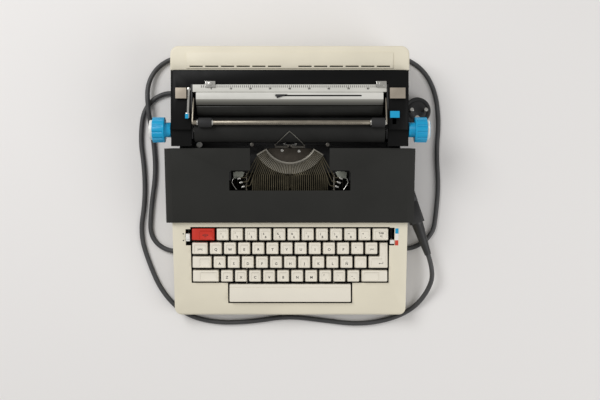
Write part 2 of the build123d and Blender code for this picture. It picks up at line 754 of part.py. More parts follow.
def centre_typebar():
    """The straight-ahead typebar at rest, with its slug set to face the platen when it strikes."""
    tail = TYPEBAR_HEIGHT / 2
    y = (TYPEBAR_PIVOT_Y - TYPEBAR_REACH + SLUG_SIZE / 2, TYPEBAR_PIVOT_Y + tail)
    bar = slab(span(TYPEBAR_THICKNESS), y, span(TYPEBAR_HEIGHT, TYPEBAR_Z))
    hole = TYPEBAR_PIN_RADIUS + BEARING_GAP
    bar -= rod_x(span(CENTRE_SLOT), TYPEBAR_PIVOT_Y, TYPEBAR_Z, hole)
    slug = Pos(0, TYPEBAR_PIVOT_Y - TYPEBAR_REACH, TYPEBAR_Z) * Rot(STRIKE_ANGLE, 0, 0)
    return bar + slug * Pos(0, -SLUG_SIZE / 4, 0) * Box(SLUG_WIDTH, SLUG_SIZE / 2, SLUG_SIZE)


# Type guide, ribbon and spools

RIBBON_Y = STRIKE_Y + STRIKE_GAP + RIBBON_THICKNESS / 2
GUIDE_REAR_Y = RIBBON_Y - RIBBON_THICKNESS / 2 - RIBBON_POST_RADIUS + 0.5


def guide_side():
    """One cheek of the type guide with its foot on the cross plate."""
    y = (GUIDE_REAR_Y - GUIDE_DEPTH, GUIDE_REAR_Y)
    x = (CENTRE_SLOT / 2 + PIVOT_GAP, CENTRE_SLOT / 2 + PIVOT_GAP + GUIDE_CHEEK)
    cheek = slab(x, y, (SEGMENT_BOTTOM_Z, GUIDE_TOP_Z))
    wing = slab((x[0], CARD_FOOT_X + 1.0), y, (RIBBON_Z - 3.0, RIBBON_Z - 1.5))
    foot = slab((x[0], x[1] + 6.0), (y[0], y[1] + 2.0), (SEGMENT_BOTTOM_Z, SEGMENT_BOTTOM_Z + 2.0))
    card_post = slab(
        (CARD_FOOT_X - 1.0, CARD_FOOT_X + 1.0), (y[1] - 1.5, y[1]), (RIBBON_Z - 3.0, GUIDE_TOP_Z + 2.0)
    )
    return cheek + wing + foot + card_post


def card_wire():
    """Bent wire that holds the paper against the platen, just clear of its surface."""
    reach = PLATEN_RADIUS + CARD_GAP + CARD_WIRE_RADIUS
    start_y = GUIDE_REAR_Y - 0.75
    start = (CARD_FOOT_X, start_y, GUIDE_TOP_Z + 2.0 + CARD_WIRE_RADIUS)
    steps = 4
    points = [start]
    for step in range(1, steps + 1):
        share = step / steps
        y = start_y + (CARD_APEX_Y - start_y) * share
        rise = math.sqrt(reach**2 - (PLATEN_Y - y) ** 2) if PLATEN_Y - y < reach else 0.0
        points.append((CARD_FOOT_X * (1 - share), y, PLATEN_Z + rise))
    line = Polyline(*[Vector(*point) for point in points])
    section = Plane(origin=line @ 0, z_dir=line % 0) * Circle(CARD_WIRE_RADIUS)
    return sweep(section, path=line, transition=Transition.RIGHT)


def ribbon_post():
    y = RIBBON_Y - RIBBON_THICKNESS / 2 - RIBBON_POST_RADIUS - BEARING_GAP
    post = rod_z(RIBBON_POST_X, y, (SEGMENT_BOTTOM_Z, RIBBON_POST_TOP_Z), RIBBON_POST_RADIUS)
    cap_z = (RIBBON_POST_TOP_Z, RIBBON_POST_TOP_Z + 1.2)
    return post + rod_z(RIBBON_POST_X, y, cap_z, RIBBON_POST_RADIUS + 0.9)


def type_guide():
    return both_sides(guide_side()) + both_sides(ribbon_post())


def ink_ribbon():
    """Ribbon strip from spool to spool, round the posts and in front of the platen."""
    end = (SPOOL_X - SPOOL_RADIUS * 0.6 - 3.0, SPOOL_Y + SPOOL_RADIUS * 0.9)
    half = [end, (RIBBON_POST_X + 2.4, RIBBON_Y - 1.0), (RIBBON_POST_X + 1.0, RIBBON_Y)]
    points = half + [(-x, y) for x, y in half[::-1]]
    return plan_cut(ribbon_path(points, RIBBON_THICKNESS), (RIBBON_Z, RIBBON_Z + RIBBON_HEIGHT))


def ribbon_carrier():
    """Two fingers that lift the ribbon to the print line."""
    y = (RIBBON_Y + RIBBON_THICKNESS / 2, RIBBON_Y + RIBBON_THICKNESS / 2 + 0.5)
    finger = slab((6.0, 9.0), y, (RIBBON_Z - 4.0, RIBBON_Z + RIBBON_HEIGHT))
    bar = slab((-9.0, 9.0), (y[0] - 1.0, y[1]), (RIBBON_Z - 5.5, RIBBON_Z - 4.0))
    return finger + mirrored(finger) + bar


def ribbon_spool(side):
    z = (RIBBON_Z - SPOOL_FLANGE, RIBBON_Z + RIBBON_HEIGHT + SPOOL_FLANGE)
    x = side * SPOOL_X
    spool = rod_z(x, SPOOL_Y, z, SPOOL_PACK_RADIUS)
    for low in (z[0], z[1] - SPOOL_FLANGE):
        spool += rod_z(x, SPOOL_Y, (low, low + SPOOL_FLANGE), SPOOL_RADIUS)
    return spool - rod_z(x, SPOOL_Y, (0, TALL), SPOOL_POST_RADIUS + BEARING_GAP)


# Motor, belt and power roller


def drive_motor():
    half = MOTOR_LENGTH / 2
    body = rod_x((MOTOR_X - half, MOTOR_X + half), MOTOR_Y, MOTOR_Z, MOTOR_RADIUS)
    nose = rod_x((MOTOR_X + half, MOTOR_X + half + 3.0), MOTOR_Y, MOTOR_Z, MOTOR_RADIUS / 2)
    bore = rod_x((MOTOR_X, MOTOR_X + half + 3.0), MOTOR_Y, MOTOR_Z, 2.0 + BEARING_GAP)
    return body + nose - bore


def motor_pulley():
    shaft = rod_x((MOTOR_X + 1, PULLEY_X + PULLEY_WIDTH / 2), MOTOR_Y, MOTOR_Z, 2.0)
    return shaft + rod_x(span(PULLEY_WIDTH, PULLEY_X), MOTOR_Y, MOTOR_Z, MOTOR_PULLEY_RADIUS)


def power_roller():
    pulley_x = span(PULLEY_WIDTH, PULLEY_X)
    shaft = rod_x((-KEY_BRACKET_X, pulley_x[0]), ROLLER_Y, ROLLER_Z, ROLLER_RADIUS)
    return [shaft, rod_x(pulley_x, ROLLER_Y, ROLLER_Z, ROLLER_PULLEY_RADIUS)]


def belt_loop(gap):
    """Outline of a loop round both pulleys, at a gap outside them."""
    wheels = [
        Pos(MOTOR_Y, MOTOR_Z) * Circle(MOTOR_PULLEY_RADIUS + gap),
        Pos(ROLLER_Y, ROLLER_Z) * Circle(ROLLER_PULLEY_RADIUS + gap),
    ]
    return make_hull([wheel.edge() for wheel in wheels])


def drive_belt():
    x = span(BELT_WIDTH, PULLEY_X)
    band = belt_loop(BEARING_GAP + BELT_THICKNESS) - belt_loop(BEARING_GAP)
    return extrude(Plane.YZ.offset(x[0]) * band, BELT_WIDTH, dir=(1, 0, 0))


def mainspring_drum():
    z = (PAN_TOP_Z + 6.0 + SEAM / 2, PAN_TOP_Z + 6.0 + DRUM_HEIGHT)
    drum = rod_z(DRUM_X, MOTOR_Y, z, DRUM_RADIUS)
    middle = (z[0] + z[1]) / 2
    groove = rod_z(DRUM_X, MOTOR_Y, (middle - 1.5, middle + 1.5), DRUM_RADIUS + 1)
    groove -= rod_z(DRUM_X, MOTOR_Y, (middle - 1.5, middle + 1.5), DRUM_RADIUS - 1.5)
    return drum - groove - rod_z(DRUM_X, MOTOR_Y, z, RAIL_RADIUS + BEARING_GAP)


# Keys. A key's place is counted in key pitches from the left end of the keyboard.


def unit_x(units):
    return KEYBOARD_LEFT + units * KEY_PITCH


def row_y(row):
    return FIRST_ROW_Y - (row - 1) * ROW_PITCH


def key_top_z(y):
    return deck_z(y) + KEY_STAND


def cap_body(x, y, top, corner=KEY_CORNER):
    """A tapered hollow cap between two ends along X and Y."""
    width = x[1] - x[0]
    depth = y[1] - y[0]
    middle = Pos((x[0] + x[1]) / 2, (y[0] + y[1]) / 2)
    lower = Pos(0, 0, top - KEY_HEIGHT) * middle * RectangleRounded(width, depth, corner)
    upper = Pos(0, 0, top) * middle * RectangleRounded(
        width - 2 * KEY_TAPER, depth - 2 * KEY_TAPER, corner
    )
    body = loft([lower.face(), upper.face()], ruled=True)
    inner = span(width - 2 * KEY_WALL, (x[0] + x[1]) / 2)
    inner_y = span(depth - 2 * KEY_WALL, (y[0] + y[1]) / 2)
    return body - slab(inner, inner_y, (top - KEY_HEIGHT, top - KEY_DISH - KEY_WALL))


def dish(x, y, top):
    """The scoop that is taken from a cap's top."""
    front = y[0] + KEY_TAPER + 0.8
    rear = y[1] - KEY_TAPER - KEY_REAR_RIM
    centre = ((x[0] + x[1]) / 2, (front + rear) / 2, top - KEY_DISH + KEY_DISH_RADIUS)
    return Pos(*centre) * Rot(90, 0, 0) * Cylinder(KEY_DISH_RADIUS, rear - front)


def wide_dish(x, y, top):
    """A flat-bottomed recess for the finger on a wide key."""
    front = y[0] + KEY_TAPER + 0.8
    rear = y[1] - KEY_TAPER - KEY_REAR_RIM
    return slab((x[0], x[1]), (front, rear), (top - KEY_DISH, top + 1))


def lever(x, y, top):
    """Key lever hooked over the fulcrum rod, with an upright end that carries the cap."""
    half = LEVER_HEIGHT / 2
    slot = FULCRUM_RADIUS + PIVOT_GAP
    end_z = FULCRUM_Z - (FULCRUM_Y - y) * LEVER_DROP
    seat = top - KEY_DISH - KEY_WALL
    outline = [
        (FULCRUM_Y + slot + 3.0, FULCRUM_Z - 2.0),
        (FULCRUM_Y + slot + 3.0, FULCRUM_Z + slot + 2.0),
        (FULCRUM_Y - slot - 6.0, FULCRUM_Z + slot + 2.0),
        (FULCRUM_Y - slot - 12.0, FULCRUM_Z + half),
        (y + 4.0, end_z + half),
        (y + 4.0, seat),
        (y - 4.0, seat),
        (y - 4.0, end_z - half),
        (FULCRUM_Y - slot - 8.0, FULCRUM_Z - half - 1.0),
        (FULCRUM_Y - slot, FULCRUM_Z - 2.0),
        (FULCRUM_Y - slot, FULCRUM_Z + slot),
        (FULCRUM_Y + slot, FULCRUM_Z + slot),
        (FULCRUM_Y + slot, FULCRUM_Z - 2.0),
    ]
    return side_cut(outline, span(LEVER_THICKNESS, x))


def key(row, start, width, lever_units=None, dish_units=None):
    """One key: its cap, and the lever under it."""
    y = span(ROW_PITCH - KEY_GAP, row_y(row))
    x = (unit_x(start) + KEY_GAP / 2, unit_x(start + width) - KEY_GAP / 2)
    top = key_top_z(row_y(row))
    cap = cap_body(x, y, top)
    if width == 1:
        cap -= dish(x, y, top)
    else:
        first, last = dish_units or (start, start + width)
        recess = (unit_x(first) + KEY_GAP / 2 + 2 * KEY_TAPER, unit_x(last) - KEY_GAP / 2 - 2 * KEY_TAPER)
        cap -= wide_dish(recess, y, top)
    place = lever_units or start + width / 2
    return [cap, lever(unit_x(place), row_y(row), top)]


def letter_row(row, start, count, left_out=None):
    pieces = []
    for number in range(count):
        if number != left_out:
            pieces += key(row, start + number, 1)
    return pieces


def return_key():
    """The L-shaped key at the right of the second and third rows."""
    top = key_top_z(row_y(3))
    right = unit_x(KEYBOARD_UNITS) - KEY_GAP / 2
    lower_y = span(ROW_PITCH - KEY_GAP, row_y(3))
    upper_y = (lower_y[1] - KEY_CORNER, row_y(2) + (ROW_PITCH - KEY_GAP) / 2)
    cap = cap_body((unit_x(12.5) + KEY_GAP / 2, right), lower_y, top)
    cap += cap_body((unit_x(13.25) + KEY_GAP / 2, right), upper_y, top)
    recess_x = (unit_x(12.5) + KEY_GAP / 2 + 2 * KEY_TAPER, right - 2 * KEY_TAPER)
    cap -= wide_dish(recess_x, lower_y, top)
    leg_x = (unit_x(13.25) + KEY_GAP / 2 + 2 * KEY_TAPER, right - 2 * KEY_TAPER)
    leg_y = (lower_y[1] - KEY_REAR_RIM - 2, upper_y[1] - KEY_REAR_RIM)
    cap -= slab(leg_x, leg_y, (top - KEY_DISH, top + 1))
    return [cap, lever(unit_x(13.0), row_y(3), top)]


def space_bar():
    """The bar's cap with its rear crease, on a lever at each end."""
    y = space_bar_y()
    middle = sum(y) / 2
    top = key_top_z(middle)
    x = span(SPACE_BAR_WIDTH)
    cap = cap_body(x, y, top)
    crease = Pos(0, y[1] - SPACE_BAR_CREASE, top) * Rot(45, 0, 0)
    cap -= crease * Box(SPACE_BAR_WIDTH, CREASE_SIZE, CREASE_SIZE)
    ends = [lever(side * SPACE_BAR_LEVER_X, middle, top) for side in (-1, 1)]
    return [cap] + ends


# Carriage shell, tray and end plates

STEP_Y = CARRIAGE_FRONT_Y + CARRIAGE_STEP_DEPTH
BAR_Y = CARRIAGE_REAR_Y - CARRIAGE_BAR_DEPTH
OUTER_X = CARRIAGE_WIDTH / 2
TRAY_TOP_Z = CARRIAGE_BOTTOM_Z
TRAY_FRONT_Y = CARRIAGE_FRONT_Y + TRAY_FRONT_OFFSET
TAB_Y = (STEP_Y + 39.8, STEP_Y + 39.8 + TAB_DEPTH)
LINE_PIVOT = (-OUTER_X + 24.0, TAB_Y[1] - 1.5)
LEFT_TAB_X = (-OUTER_X + 7.1, -OUTER_X + 21.2)
RIGHT_TAB_X = (END_INNER_X + 1.5, OUTER_X - 5.1)
TAB_PIVOT = (TAB_Y[1] - 3.2, 87.0)
RELEASE_X = (END_INNER_X + 1.8, END_INNER_X + 13.9)
RELEASE_Y = (83.4, 91.9)
LINE_TIP = (-OUTER_X + 22.6, RELEASE_Y[0] + 2.0)
RELEASE_PIVOT_Z = 74.0


def shell_end():
    """Right end of the carriage shell, outside and hollow, as two solids."""
    wall = CARRIAGE_WALL
    x = (END_INNER_X, OUTER_X)
    outer = slab(x, (CARRIAGE_FRONT_Y, STEP_Y), (CARRIAGE_BOTTOM_Z, CARRIAGE_STEP_Z))
    outer += slab(x, (STEP_Y, CARRIAGE_REAR_Y), (CARRIAGE_BOTTOM_Z, CARRIAGE_TOP_Z))
    hollow_x = (x[0] + wall, x[1] - wall)
    lip_y = CARRIAGE_FRONT_Y + CARRIAGE_LIP_DEPTH
    low = (CARRIAGE_BOTTOM_Z - 1, CARRIAGE_STEP_Z - wall)
    high = (CARRIAGE_BOTTOM_Z - 1, CARRIAGE_TOP_Z - wall)
    hollow = slab(hollow_x, (lip_y + wall, CARRIAGE_REAR_Y - wall), low)
    hollow += slab(hollow_x, (STEP_Y + wall, CARRIAGE_REAR_Y - wall), high)
    lip = slab((x[0] - 1, x[1] + 1), (CARRIAGE_FRONT_Y - 1, lip_y), low)
    return outer - lip, hollow


def outer_bevel():
    """Wedge that slopes the shell's outer top edge."""
    edge = [
        (OUTER_X - CARRIAGE_EDGE, CARRIAGE_TOP_Z),
        (OUTER_X, CARRIAGE_TOP_Z - 0.6 * CARRIAGE_EDGE),
        (OUTER_X + 1, CARRIAGE_TOP_Z + 1),
    ]
    along = Plane.XZ.offset(-CARRIAGE_REAR_Y - 1)
    return extrude(along * Polygon(*edge, align=None), CARRIAGE_REAR_Y + 1 - STEP_Y, dir=(0, -1, 0))


def carriage_shoe(x, y):
    """Bearing block that rides on a rail."""
    size = RAIL_RADIUS + SHOE_WALL
    block = slab(
        span(SHOE_LENGTH, x), span(2 * size, y), (RAIL_Z - size, TRAY_TOP_Z - TRAY_THICKNESS)
    )
    return block - rod_x(span(SHOE_LENGTH + 2, x), y, RAIL_Z, RAIL_RADIUS + BEARING_GAP)


def carriage_frame():
    wall = CARRIAGE_WALL
    outer, hollow = shell_end()
    shell = outer + mirrored(outer)
    shell += slab((-OUTER_X, OUTER_X), (BAR_Y, CARRIAGE_REAR_Y), (CARRIAGE_BOTTOM_Z, CARRIAGE_TOP_Z))
    shell -= hollow
    shell -= mirrored(hollow)
    bar_x = OUTER_X - wall
    bar_y = (BAR_Y + wall, CARRIAGE_REAR_Y - wall)
    shell -= slab((-bar_x, bar_x), bar_y, (CARRIAGE_BOTTOM_Z - 1, CARRIAGE_TOP_Z - wall))
    shell -= outer_bevel()
    shell -= mirrored(outer_bevel())
    shell -= rod_x((-OUTER_X - 1, OUTER_X + 1), PLATEN_Y, PLATEN_Z, SHAFT_RADIUS + BEARING_GAP)
    for tab in (LEFT_TAB_X, RIGHT_TAB_X):
        well = (tab[0] + 1.5, tab[1] - 1.5)
        shell -= slab(well, (TAB_Y[0] + 1.5, TAB_Y[1] - 0.5), (TAB_PIVOT[1], TALL))
    slot_x = (RELEASE_X[0] + 3.5, RELEASE_X[1] - 3.5)
    shell -= slab(slot_x, (RELEASE_Y[0] - 8.0, RELEASE_Y[1] - 1.0), (RELEASE_PIVOT_Z + 8, TALL))
    pin = RAIL_RADIUS / 2 + BEARING_GAP
    release_y = sum(RELEASE_Y) / 2
    shell -= rod_x((END_INNER_X - 1, END_INNER_X + wall + 1), release_y, RELEASE_PIVOT_Z, pin)
    for side in (-1, 1):
        x = sorted((side * (OUTER_X - wall - 1), side * (OUTER_X + 1)))
        shell -= rod_x(x, TAB_PIVOT[0], TAB_PIVOT[1], TAB_PIN_RADIUS + BEARING_GAP)
    pin_z = (CARRIAGE_TOP_Z - wall, CARRIAGE_TOP_Z + 1)
    shell -= rod_z(LINE_PIVOT[0], LINE_PIVOT[1], pin_z, LINE_PIN_RADIUS + BEARING_GAP)
    shell -= rod_x(ratchet_x(1.0), PLATEN_Y, PLATEN_Z, RATCHET_RADIUS + 2 * PIVOT_GAP)
    tray_z = (TRAY_TOP_Z - TRAY_THICKNESS, TRAY_TOP_Z)
    shell += slab((-OUTER_X, OUTER_X), (TRAY_FRONT_Y, CARRIAGE_REAR_Y), tray_z)
    for x in (-SHOE_X, SHOE_X):
        for y in rail_y():
            shell += carriage_shoe(x, y)
    return shell


def end_plate():
    outline = [
        (CARRIAGE_FRONT_Y + 10.0, TRAY_TOP_Z + 5.0),
        (TRAY_FRONT_Y, TRAY_TOP_Z),
        (BAR_Y - SEAM, TRAY_TOP_Z),
        (BAR_Y - SEAM, CARRIAGE_TOP_Z),
        (BAIL_PIVOT_Y - 6.0, CARRIAGE_TOP_Z + 1.5),
        (PLATEN_Y + PLATEN_RADIUS, PLATEN_Z + 10.0),
        (CARRIAGE_FRONT_Y + 10.0, PLATEN_Z + 6.0),
    ]
    plate = side_cut(outline, (PLATE_INNER_X, END_INNER_X))
    for y, z, radius in ((PLATEN_Y, PLATEN_Z, SHAFT_RADIUS), (*feed_axis(), FEED_SHAFT_RADIUS)):
        plate -= rod_x((PLATE_INNER_X - 1, END_INNER_X + 1), y, z, radius + BEARING_GAP)
    pin_x = (PLATE_INNER_X - BAIL_ARM - 2 * PIVOT_GAP, PLATE_INNER_X)
    return plate + rod_x(pin_x, BAIL_PIVOT_Y, BAIL_PIVOT_Z, BAIL_PIN_RADIUS)


def feed_axis():
    reach = PLATEN_RADIUS + FEED_RADIUS + PAPER_GAP
    angle = math.radians(FEED_ANGLE)
    return (PLATEN_Y + reach * math.cos(angle), PLATEN_Z - reach * math.sin(angle))


def bent_sheet(points, half_width, thickness=TABLE_SHEET):
    """Sheet metal bent along (Y, Z) points, centred across the carriage."""
    outline = ribbon_path(points, thickness)
    return side_cut(outline, (-half_width, half_width))


TABLE_HALF = PLATE_INNER_X - TABLE_END_GAP
STRIP_FRONT_Y = CARRIAGE_FRONT_Y + STRIP_FRONT_OFFSET
STRIP_KNEE_Y = CARRIAGE_FRONT_Y + STRIP_KNEE_OFFSET
STRIP_REAR_Y = CARRIAGE_FRONT_Y + STRIP_REAR_OFFSET


def paper_table():
    """Dark guide plate that rises behind the platen."""
    low = TRAY_TOP_Z + TABLE_SHEET / 2
    points = [
        (STRIP_FRONT_Y - 6.0, TRAY_TOP_Z),
        (STRIP_FRONT_Y - 6.0, low + 9.0),
        (STRIP_FRONT_Y - 1.6, STRIP_TOP_Z - 5.6),
    ]
    return bent_sheet(points, TABLE_HALF)


def scale_strip():
    """Grey sloped strip and flat light strip behind the paper table."""
    flat_z = STRIP_TOP_Z - TABLE_SHEET / 2
    points = [
        (STRIP_FRONT_Y + 0.8, TRAY_TOP_Z),
        (STRIP_FRONT_Y + 0.8, flat_z - 3.2),
        (STRIP_KNEE_Y, flat_z),
        (STRIP_REAR_Y - 0.4, flat_z),
    ]
    strip = bent_sheet(points, TABLE_HALF)
    slot_y = span(GUIDE_SLOT_WIDTH, (STRIP_KNEE_Y + STRIP_REAR_Y) / 2)
    return strip - slab(GUIDE_SLOT_X, slot_y, (flat_z - 3, flat_z + 3))


def paper_guide():
    """Pointer that slides in the slot of the light strip."""
    slot_y = (STRIP_KNEE_Y + STRIP_REAR_Y) / 2
    start = GUIDE_SLOT_X[0] + PIVOT_GAP
    top = STRIP_TOP_Z + PIVOT_GAP
    flag = [(start, slot_y + 1.5), (start + 2.0, slot_y - 3.5), (start + 16.0, slot_y + 1.5)]
    plate = plan_cut(flag, (top, top + 1.2))
    key_y = span(GUIDE_SLOT_WIDTH - 2 * PIVOT_GAP, slot_y)
    return plate + slab((start, start + 12.0), key_y, (STRIP_TOP_Z - 4.0, top + 0.5))


def margin_rail():
    """Scale rail that the margin stops slide on."""
    top = RAIL_SCALE_TOP_Z - TABLE_SHEET / 2
    points = [
        (STRIP_REAR_Y + 1.2, TRAY_TOP_Z),
        (STRIP_REAR_Y + 1.2, top),
        (BAR_Y - 0.8, top),
    ]
    return bent_sheet(points, PLATE_INNER_X - PIVOT_GAP)


def margin_stop(x):
    length, depth, height = STOP_SIZE
    low = RAIL_SCALE_TOP_Z + PIVOT_GAP
    stop = slab(span(length, x), span(depth, BAR_Y - 0.6), (low, low + height * 0.45))
    return stop + slab(span(length * 0.4, x), span(depth * 0.5, BAR_Y - 0.6), (low, low + height))


# Platen, shaft and knobs


def platen_roller():
    roller = rod_x((-PLATEN_HALF, PLATEN_HALF), PLATEN_Y, PLATEN_Z, PLATEN_RADIUS)
    return roller - rod_x((-PLATEN_HALF, PLATEN_HALF), PLATEN_Y, PLATEN_Z, SHAFT_RADIUS)


KNOB_INNER_X = KNOB_END_X - KNOB_CAP_STAND - KNOB_LENGTH

def ratchet_x(room=0.0):
    """Ends of the ratchet wheel, inside the left end of the carriage."""
    end = -END_INNER_X - CARRIAGE_WALL - 1.5
    return (end - RATCHET_WIDTH - room, end + room)


def ratchet_wheel(x):
    """Toothed wheel that gives the platen its line clicks."""
    points = []
    for tooth in range(RATCHET_TEETH):
        start = 2 * math.pi * tooth / RATCHET_TEETH
        for turn, radius in ((0.0, RATCHET_RADIUS), (0.5, RATCHET_RADIUS - 1.2)):
            angle = start + turn * 2 * math.pi / RATCHET_TEETH
            points.append(
                (PLATEN_Y + radius * math.cos(angle), PLATEN_Z + radius * math.sin(angle))
            )
    return side_cut(points, x)


def platen_shaft():
    end = KNOB_END_X - KNOB_CAP_STAND - POCKET_DEPTH - 1.0
    shaft = rod_x((-end, end), PLATEN_Y, PLATEN_Z, SHAFT_RADIUS)
    return shaft + ratchet_wheel(ratchet_x())


def platen_knob():
    """Right knob with its finger grips and hub."""
    outer = (KNOB_INNER_X, KNOB_INNER_X + KNOB_LENGTH)
    knob = rod_x(outer, PLATEN_Y, PLATEN_Z, KNOB_RADIUS)
    grips = []
    for number in range(KNOB_GRIPS):
        angle = math.radians(360 * (number + 0.5) / KNOB_GRIPS)
        reach = KNOB_RADIUS + 2.0 - KNOB_GRIP_DEPTH
        y = PLATEN_Y + reach * math.cos(angle)
        z = PLATEN_Z + reach * math.sin(angle)
        grips.append(rod_x((outer[0] + 2.0, outer[1] + 1), y, z, 2.0))
    knob -= grips
    knob += rod_x((OUTER_X + 1.0, KNOB_INNER_X), PLATEN_Y, PLATEN_Z, KNOB_HUB_RADIUS)
    end = KNOB_END_X - KNOB_CAP_STAND - POCKET_DEPTH - 1.0
    return knob - rod_x((OUTER_X, end), PLATEN_Y, PLATEN_Z, SHAFT_RADIUS)


def knob_cap():
    cap_x = (KNOB_END_X - KNOB_CAP_STAND, KNOB_END_X)
    return rod_x(cap_x, PLATEN_Y, PLATEN_Z, KNOB_CAP_RADIUS)


def left_knob():
    pocket_x = (-KNOB_END_X, -KNOB_END_X + KNOB_CAP_STAND + POCKET_DEPTH)
    pocket = rod_x(pocket_x, PLATEN_Y, PLATEN_Z, KNOB_CAP_RADIUS + PIVOT_GAP)
    return mirrored(platen_knob()) - pocket


def knob_button():
    inner = KNOB_CAP_STAND + POCKET_DEPTH - BUTTON_STROKE - 1.0
    return rod_x((-KNOB_END_X, -KNOB_END_X + inner), PLATEN_Y, PLATEN_Z, KNOB_CAP_RADIUS)


def feed_rollers():
    y, z = feed_axis()
    shaft = rod_x((-END_INNER_X, END_INNER_X), y, z, FEED_SHAFT_RADIUS)
    pitch = 2 * PLATEN_HALF / FEED_COUNT
    for number in range(FEED_COUNT):
        middle = -PLATEN_HALF + (number + 0.5) * pitch
        shaft += rod_x(span(FEED_LENGTH, middle), y, z, FEED_RADIUS)
    return shaft


# Paper bail

BAIL_Y = PLATEN_Y + BAIL_OFFSET
BAIL_REACH = PLATEN_RADIUS + BAIL_ROLLER_RADIUS + PAPER_GAP
BAIL_Z = PLATEN_Z + math.sqrt(BAIL_REACH**2 - BAIL_OFFSET**2)


def paper_bail():
    half = PLATE_INNER_X - PIVOT_GAP
    bar = rod_x((-half, half), BAIL_Y, BAIL_Z, BAIL_BAR_RADIUS)
    for x in BAIL_ROLLER_X:
        neck = span(BAIL_ROLLER_LENGTH + 2 * PIVOT_GAP, x)
        bar -= rod_x(neck, BAIL_Y, BAIL_Z, 10) - rod_x(neck, BAIL_Y, BAIL_Z, BAIL_BAR_RADIUS - 0.8)
    width = BAIL_BAR_RADIUS
    outline = [
        (BAIL_Y - width, BAIL_Z - 1.0),
        (BAIL_Y - width + 1.0, BAIL_Z + width),
        (BAIL_Y + width, BAIL_Z + width),
        (BAIL_PIVOT_Y + 4.0, BAIL_PIVOT_Z + 2.5),
        (BAIL_PIVOT_Y + 3.0, BAIL_PIVOT_Z - 4.0),
        (BAIL_PIVOT_Y - 4.0, BAIL_PIVOT_Z - 4.0),
        (BAIL_Y + 1.0, BAIL_Z - width),
    ]
    arm = side_cut(outline, (half - BAIL_ARM, half))
    arm -= rod_x((half - 5, half + 5), BAIL_PIVOT_Y, BAIL_PIVOT_Z, BAIL_PIN_RADIUS + BEARING_GAP)
    return bar + arm + mirrored(arm)


def bail_roller(x):
    length = span(BAIL_ROLLER_LENGTH, x)
    roller = rod_x(length, BAIL_Y, BAIL_Z, BAIL_ROLLER_RADIUS)
    return roller - rod_x(length, BAIL_Y, BAIL_Z, BAIL_BAR_RADIUS - 0.8 + BEARING_GAP)


# Levers and buttons on the carriage


def release_tab(x, side):
    """Carriage release: a wide tab on a pin that runs into the shell's end wall."""
    tab = slab(x, TAB_Y, (TAB_TOP_Z - TAB_THICKNESS, TAB_TOP_Z))
    middle = sum(x) / 2
    y, z = TAB_PIVOT
    stem = slab(span(5.0, middle), span(3.6, y), (z - 2.5, TAB_TOP_Z - TAB_THICKNESS + 0.5))
    pin_x = sorted((side * (OUTER_X - 0.5), middle))
    return tab + stem + rod_x(pin_x, y, z, TAB_PIN_RADIUS)


def paper_release():
    """Finger tab that eases the feed rollers away from the platen."""
    middle = sum(RELEASE_X) / 2
    y = sum(RELEASE_Y) / 2
    cap_z = CARRIAGE_TOP_Z + RELEASE_STAND
    cap = slab(RELEASE_X, RELEASE_Y, (cap_z, cap_z + RELEASE_CAP))
    stem = slab(span(3.6, middle), span(2.4, y), (RELEASE_PIVOT_Z - 3.0, cap_z + 0.5))
    pin = rod_x((END_INNER_X, middle), y, RELEASE_PIVOT_Z, RAIL_RADIUS / 2)
    return cap + stem + pin


def line_space_lever():
    """Thin arm on a pivot post, with a finger tip at its front end."""
    z = (CARRIAGE_TOP_Z + PIVOT_GAP, CARRIAGE_TOP_Z + PIVOT_GAP + 1.4)
    arm = plan_cut(ribbon_path([LINE_PIVOT, LINE_TIP], 2.6), z)
    hub = rod_z(LINE_PIVOT[0], LINE_PIVOT[1], z, 2.4)
    hub += rod_z(LINE_PIVOT[0], LINE_PIVOT[1], (CARRIAGE_TOP_Z - 1.6, z[1]), LINE_PIN_RADIUS)
    tip = slab(span(4.4, LINE_TIP[0]), span(6.4, LINE_TIP[1] + 1.0), (z[1], z[1] + 2.6))
    return [arm + hub, tip]


def lock_button():
    """Carriage lock: a button on a stem through the cross plate."""
    head_z = LOCK_TOP_Z - LOCK_HEAD
    head = rod_z(LOCK_X, LOCK_Y, (head_z, LOCK_TOP_Z), LOCK_RADIUS)
    stem_z = (SEGMENT_BOTTOM_Z - SEGMENT_PLATE - LOCK_STROKE, head_z)
    return head + rod_z(LOCK_X, LOCK_Y, stem_z, LOCK_STEM_RADIUS)


# Sliders beside the keys


def slider(x, y, length, width):
    """A finger piece that stands out of the deck, on a flat stem."""
    lean = Pos(x, y, deck_z(y)) * Rot(HOUSING_SLOPE, 0, 0)
    cap = Box(width, length, 4.6)
    ridge = Pos(0, 0, 2.6) * Box(width, length * 0.35, 1.4)
    stem = Pos(0, 0, -2.3 - SLIDER_STEM / 2) * Box(2.0, length * 0.8, SLIDER_STEM)
    return lean * (cap + ridge + stem)


def slider_x():
    well = KEYBOARD_UNITS * KEY_PITCH / 2 - KEY_GAP / 2 + KEY_WELL_GAP
    return well + NOTCH_WIDTH / 2


def slider_rail(x, y, length):
    """Post on the pan floor that a slider's stem rides on."""
    top = -2.3 - SLIDER_STEM - PIVOT_GAP
    height = 60.0
    block = Pos(0, 0, top - height / 2) * Box(3.0, length, height)
    leaning = Pos(x, y, deck_z(y)) * Rot(HOUSING_SLOPE, 0, 0) * block
    return leaning & slab(span(20, x), span(60, y), (PAN_TOP_Z, TALL))


# Mains inlet, coupler, plug and cord


def inlet_frame():
    """The inlet's mouth, with its local -Y pointing out of the machine."""
    return Pos(*INLET_FACE) * Rot(0, 0, INLET_TURN)


def inlet_pins(radius, start, length):
    pins = []
    for x, z in ((-INLET_PIN_SPREAD, 0), (INLET_PIN_SPREAD, 0)):
        pins.append(Pos(x, start + length / 2, z) * Rot(90, 0, 0) * Cylinder(radius, length))
    return pins


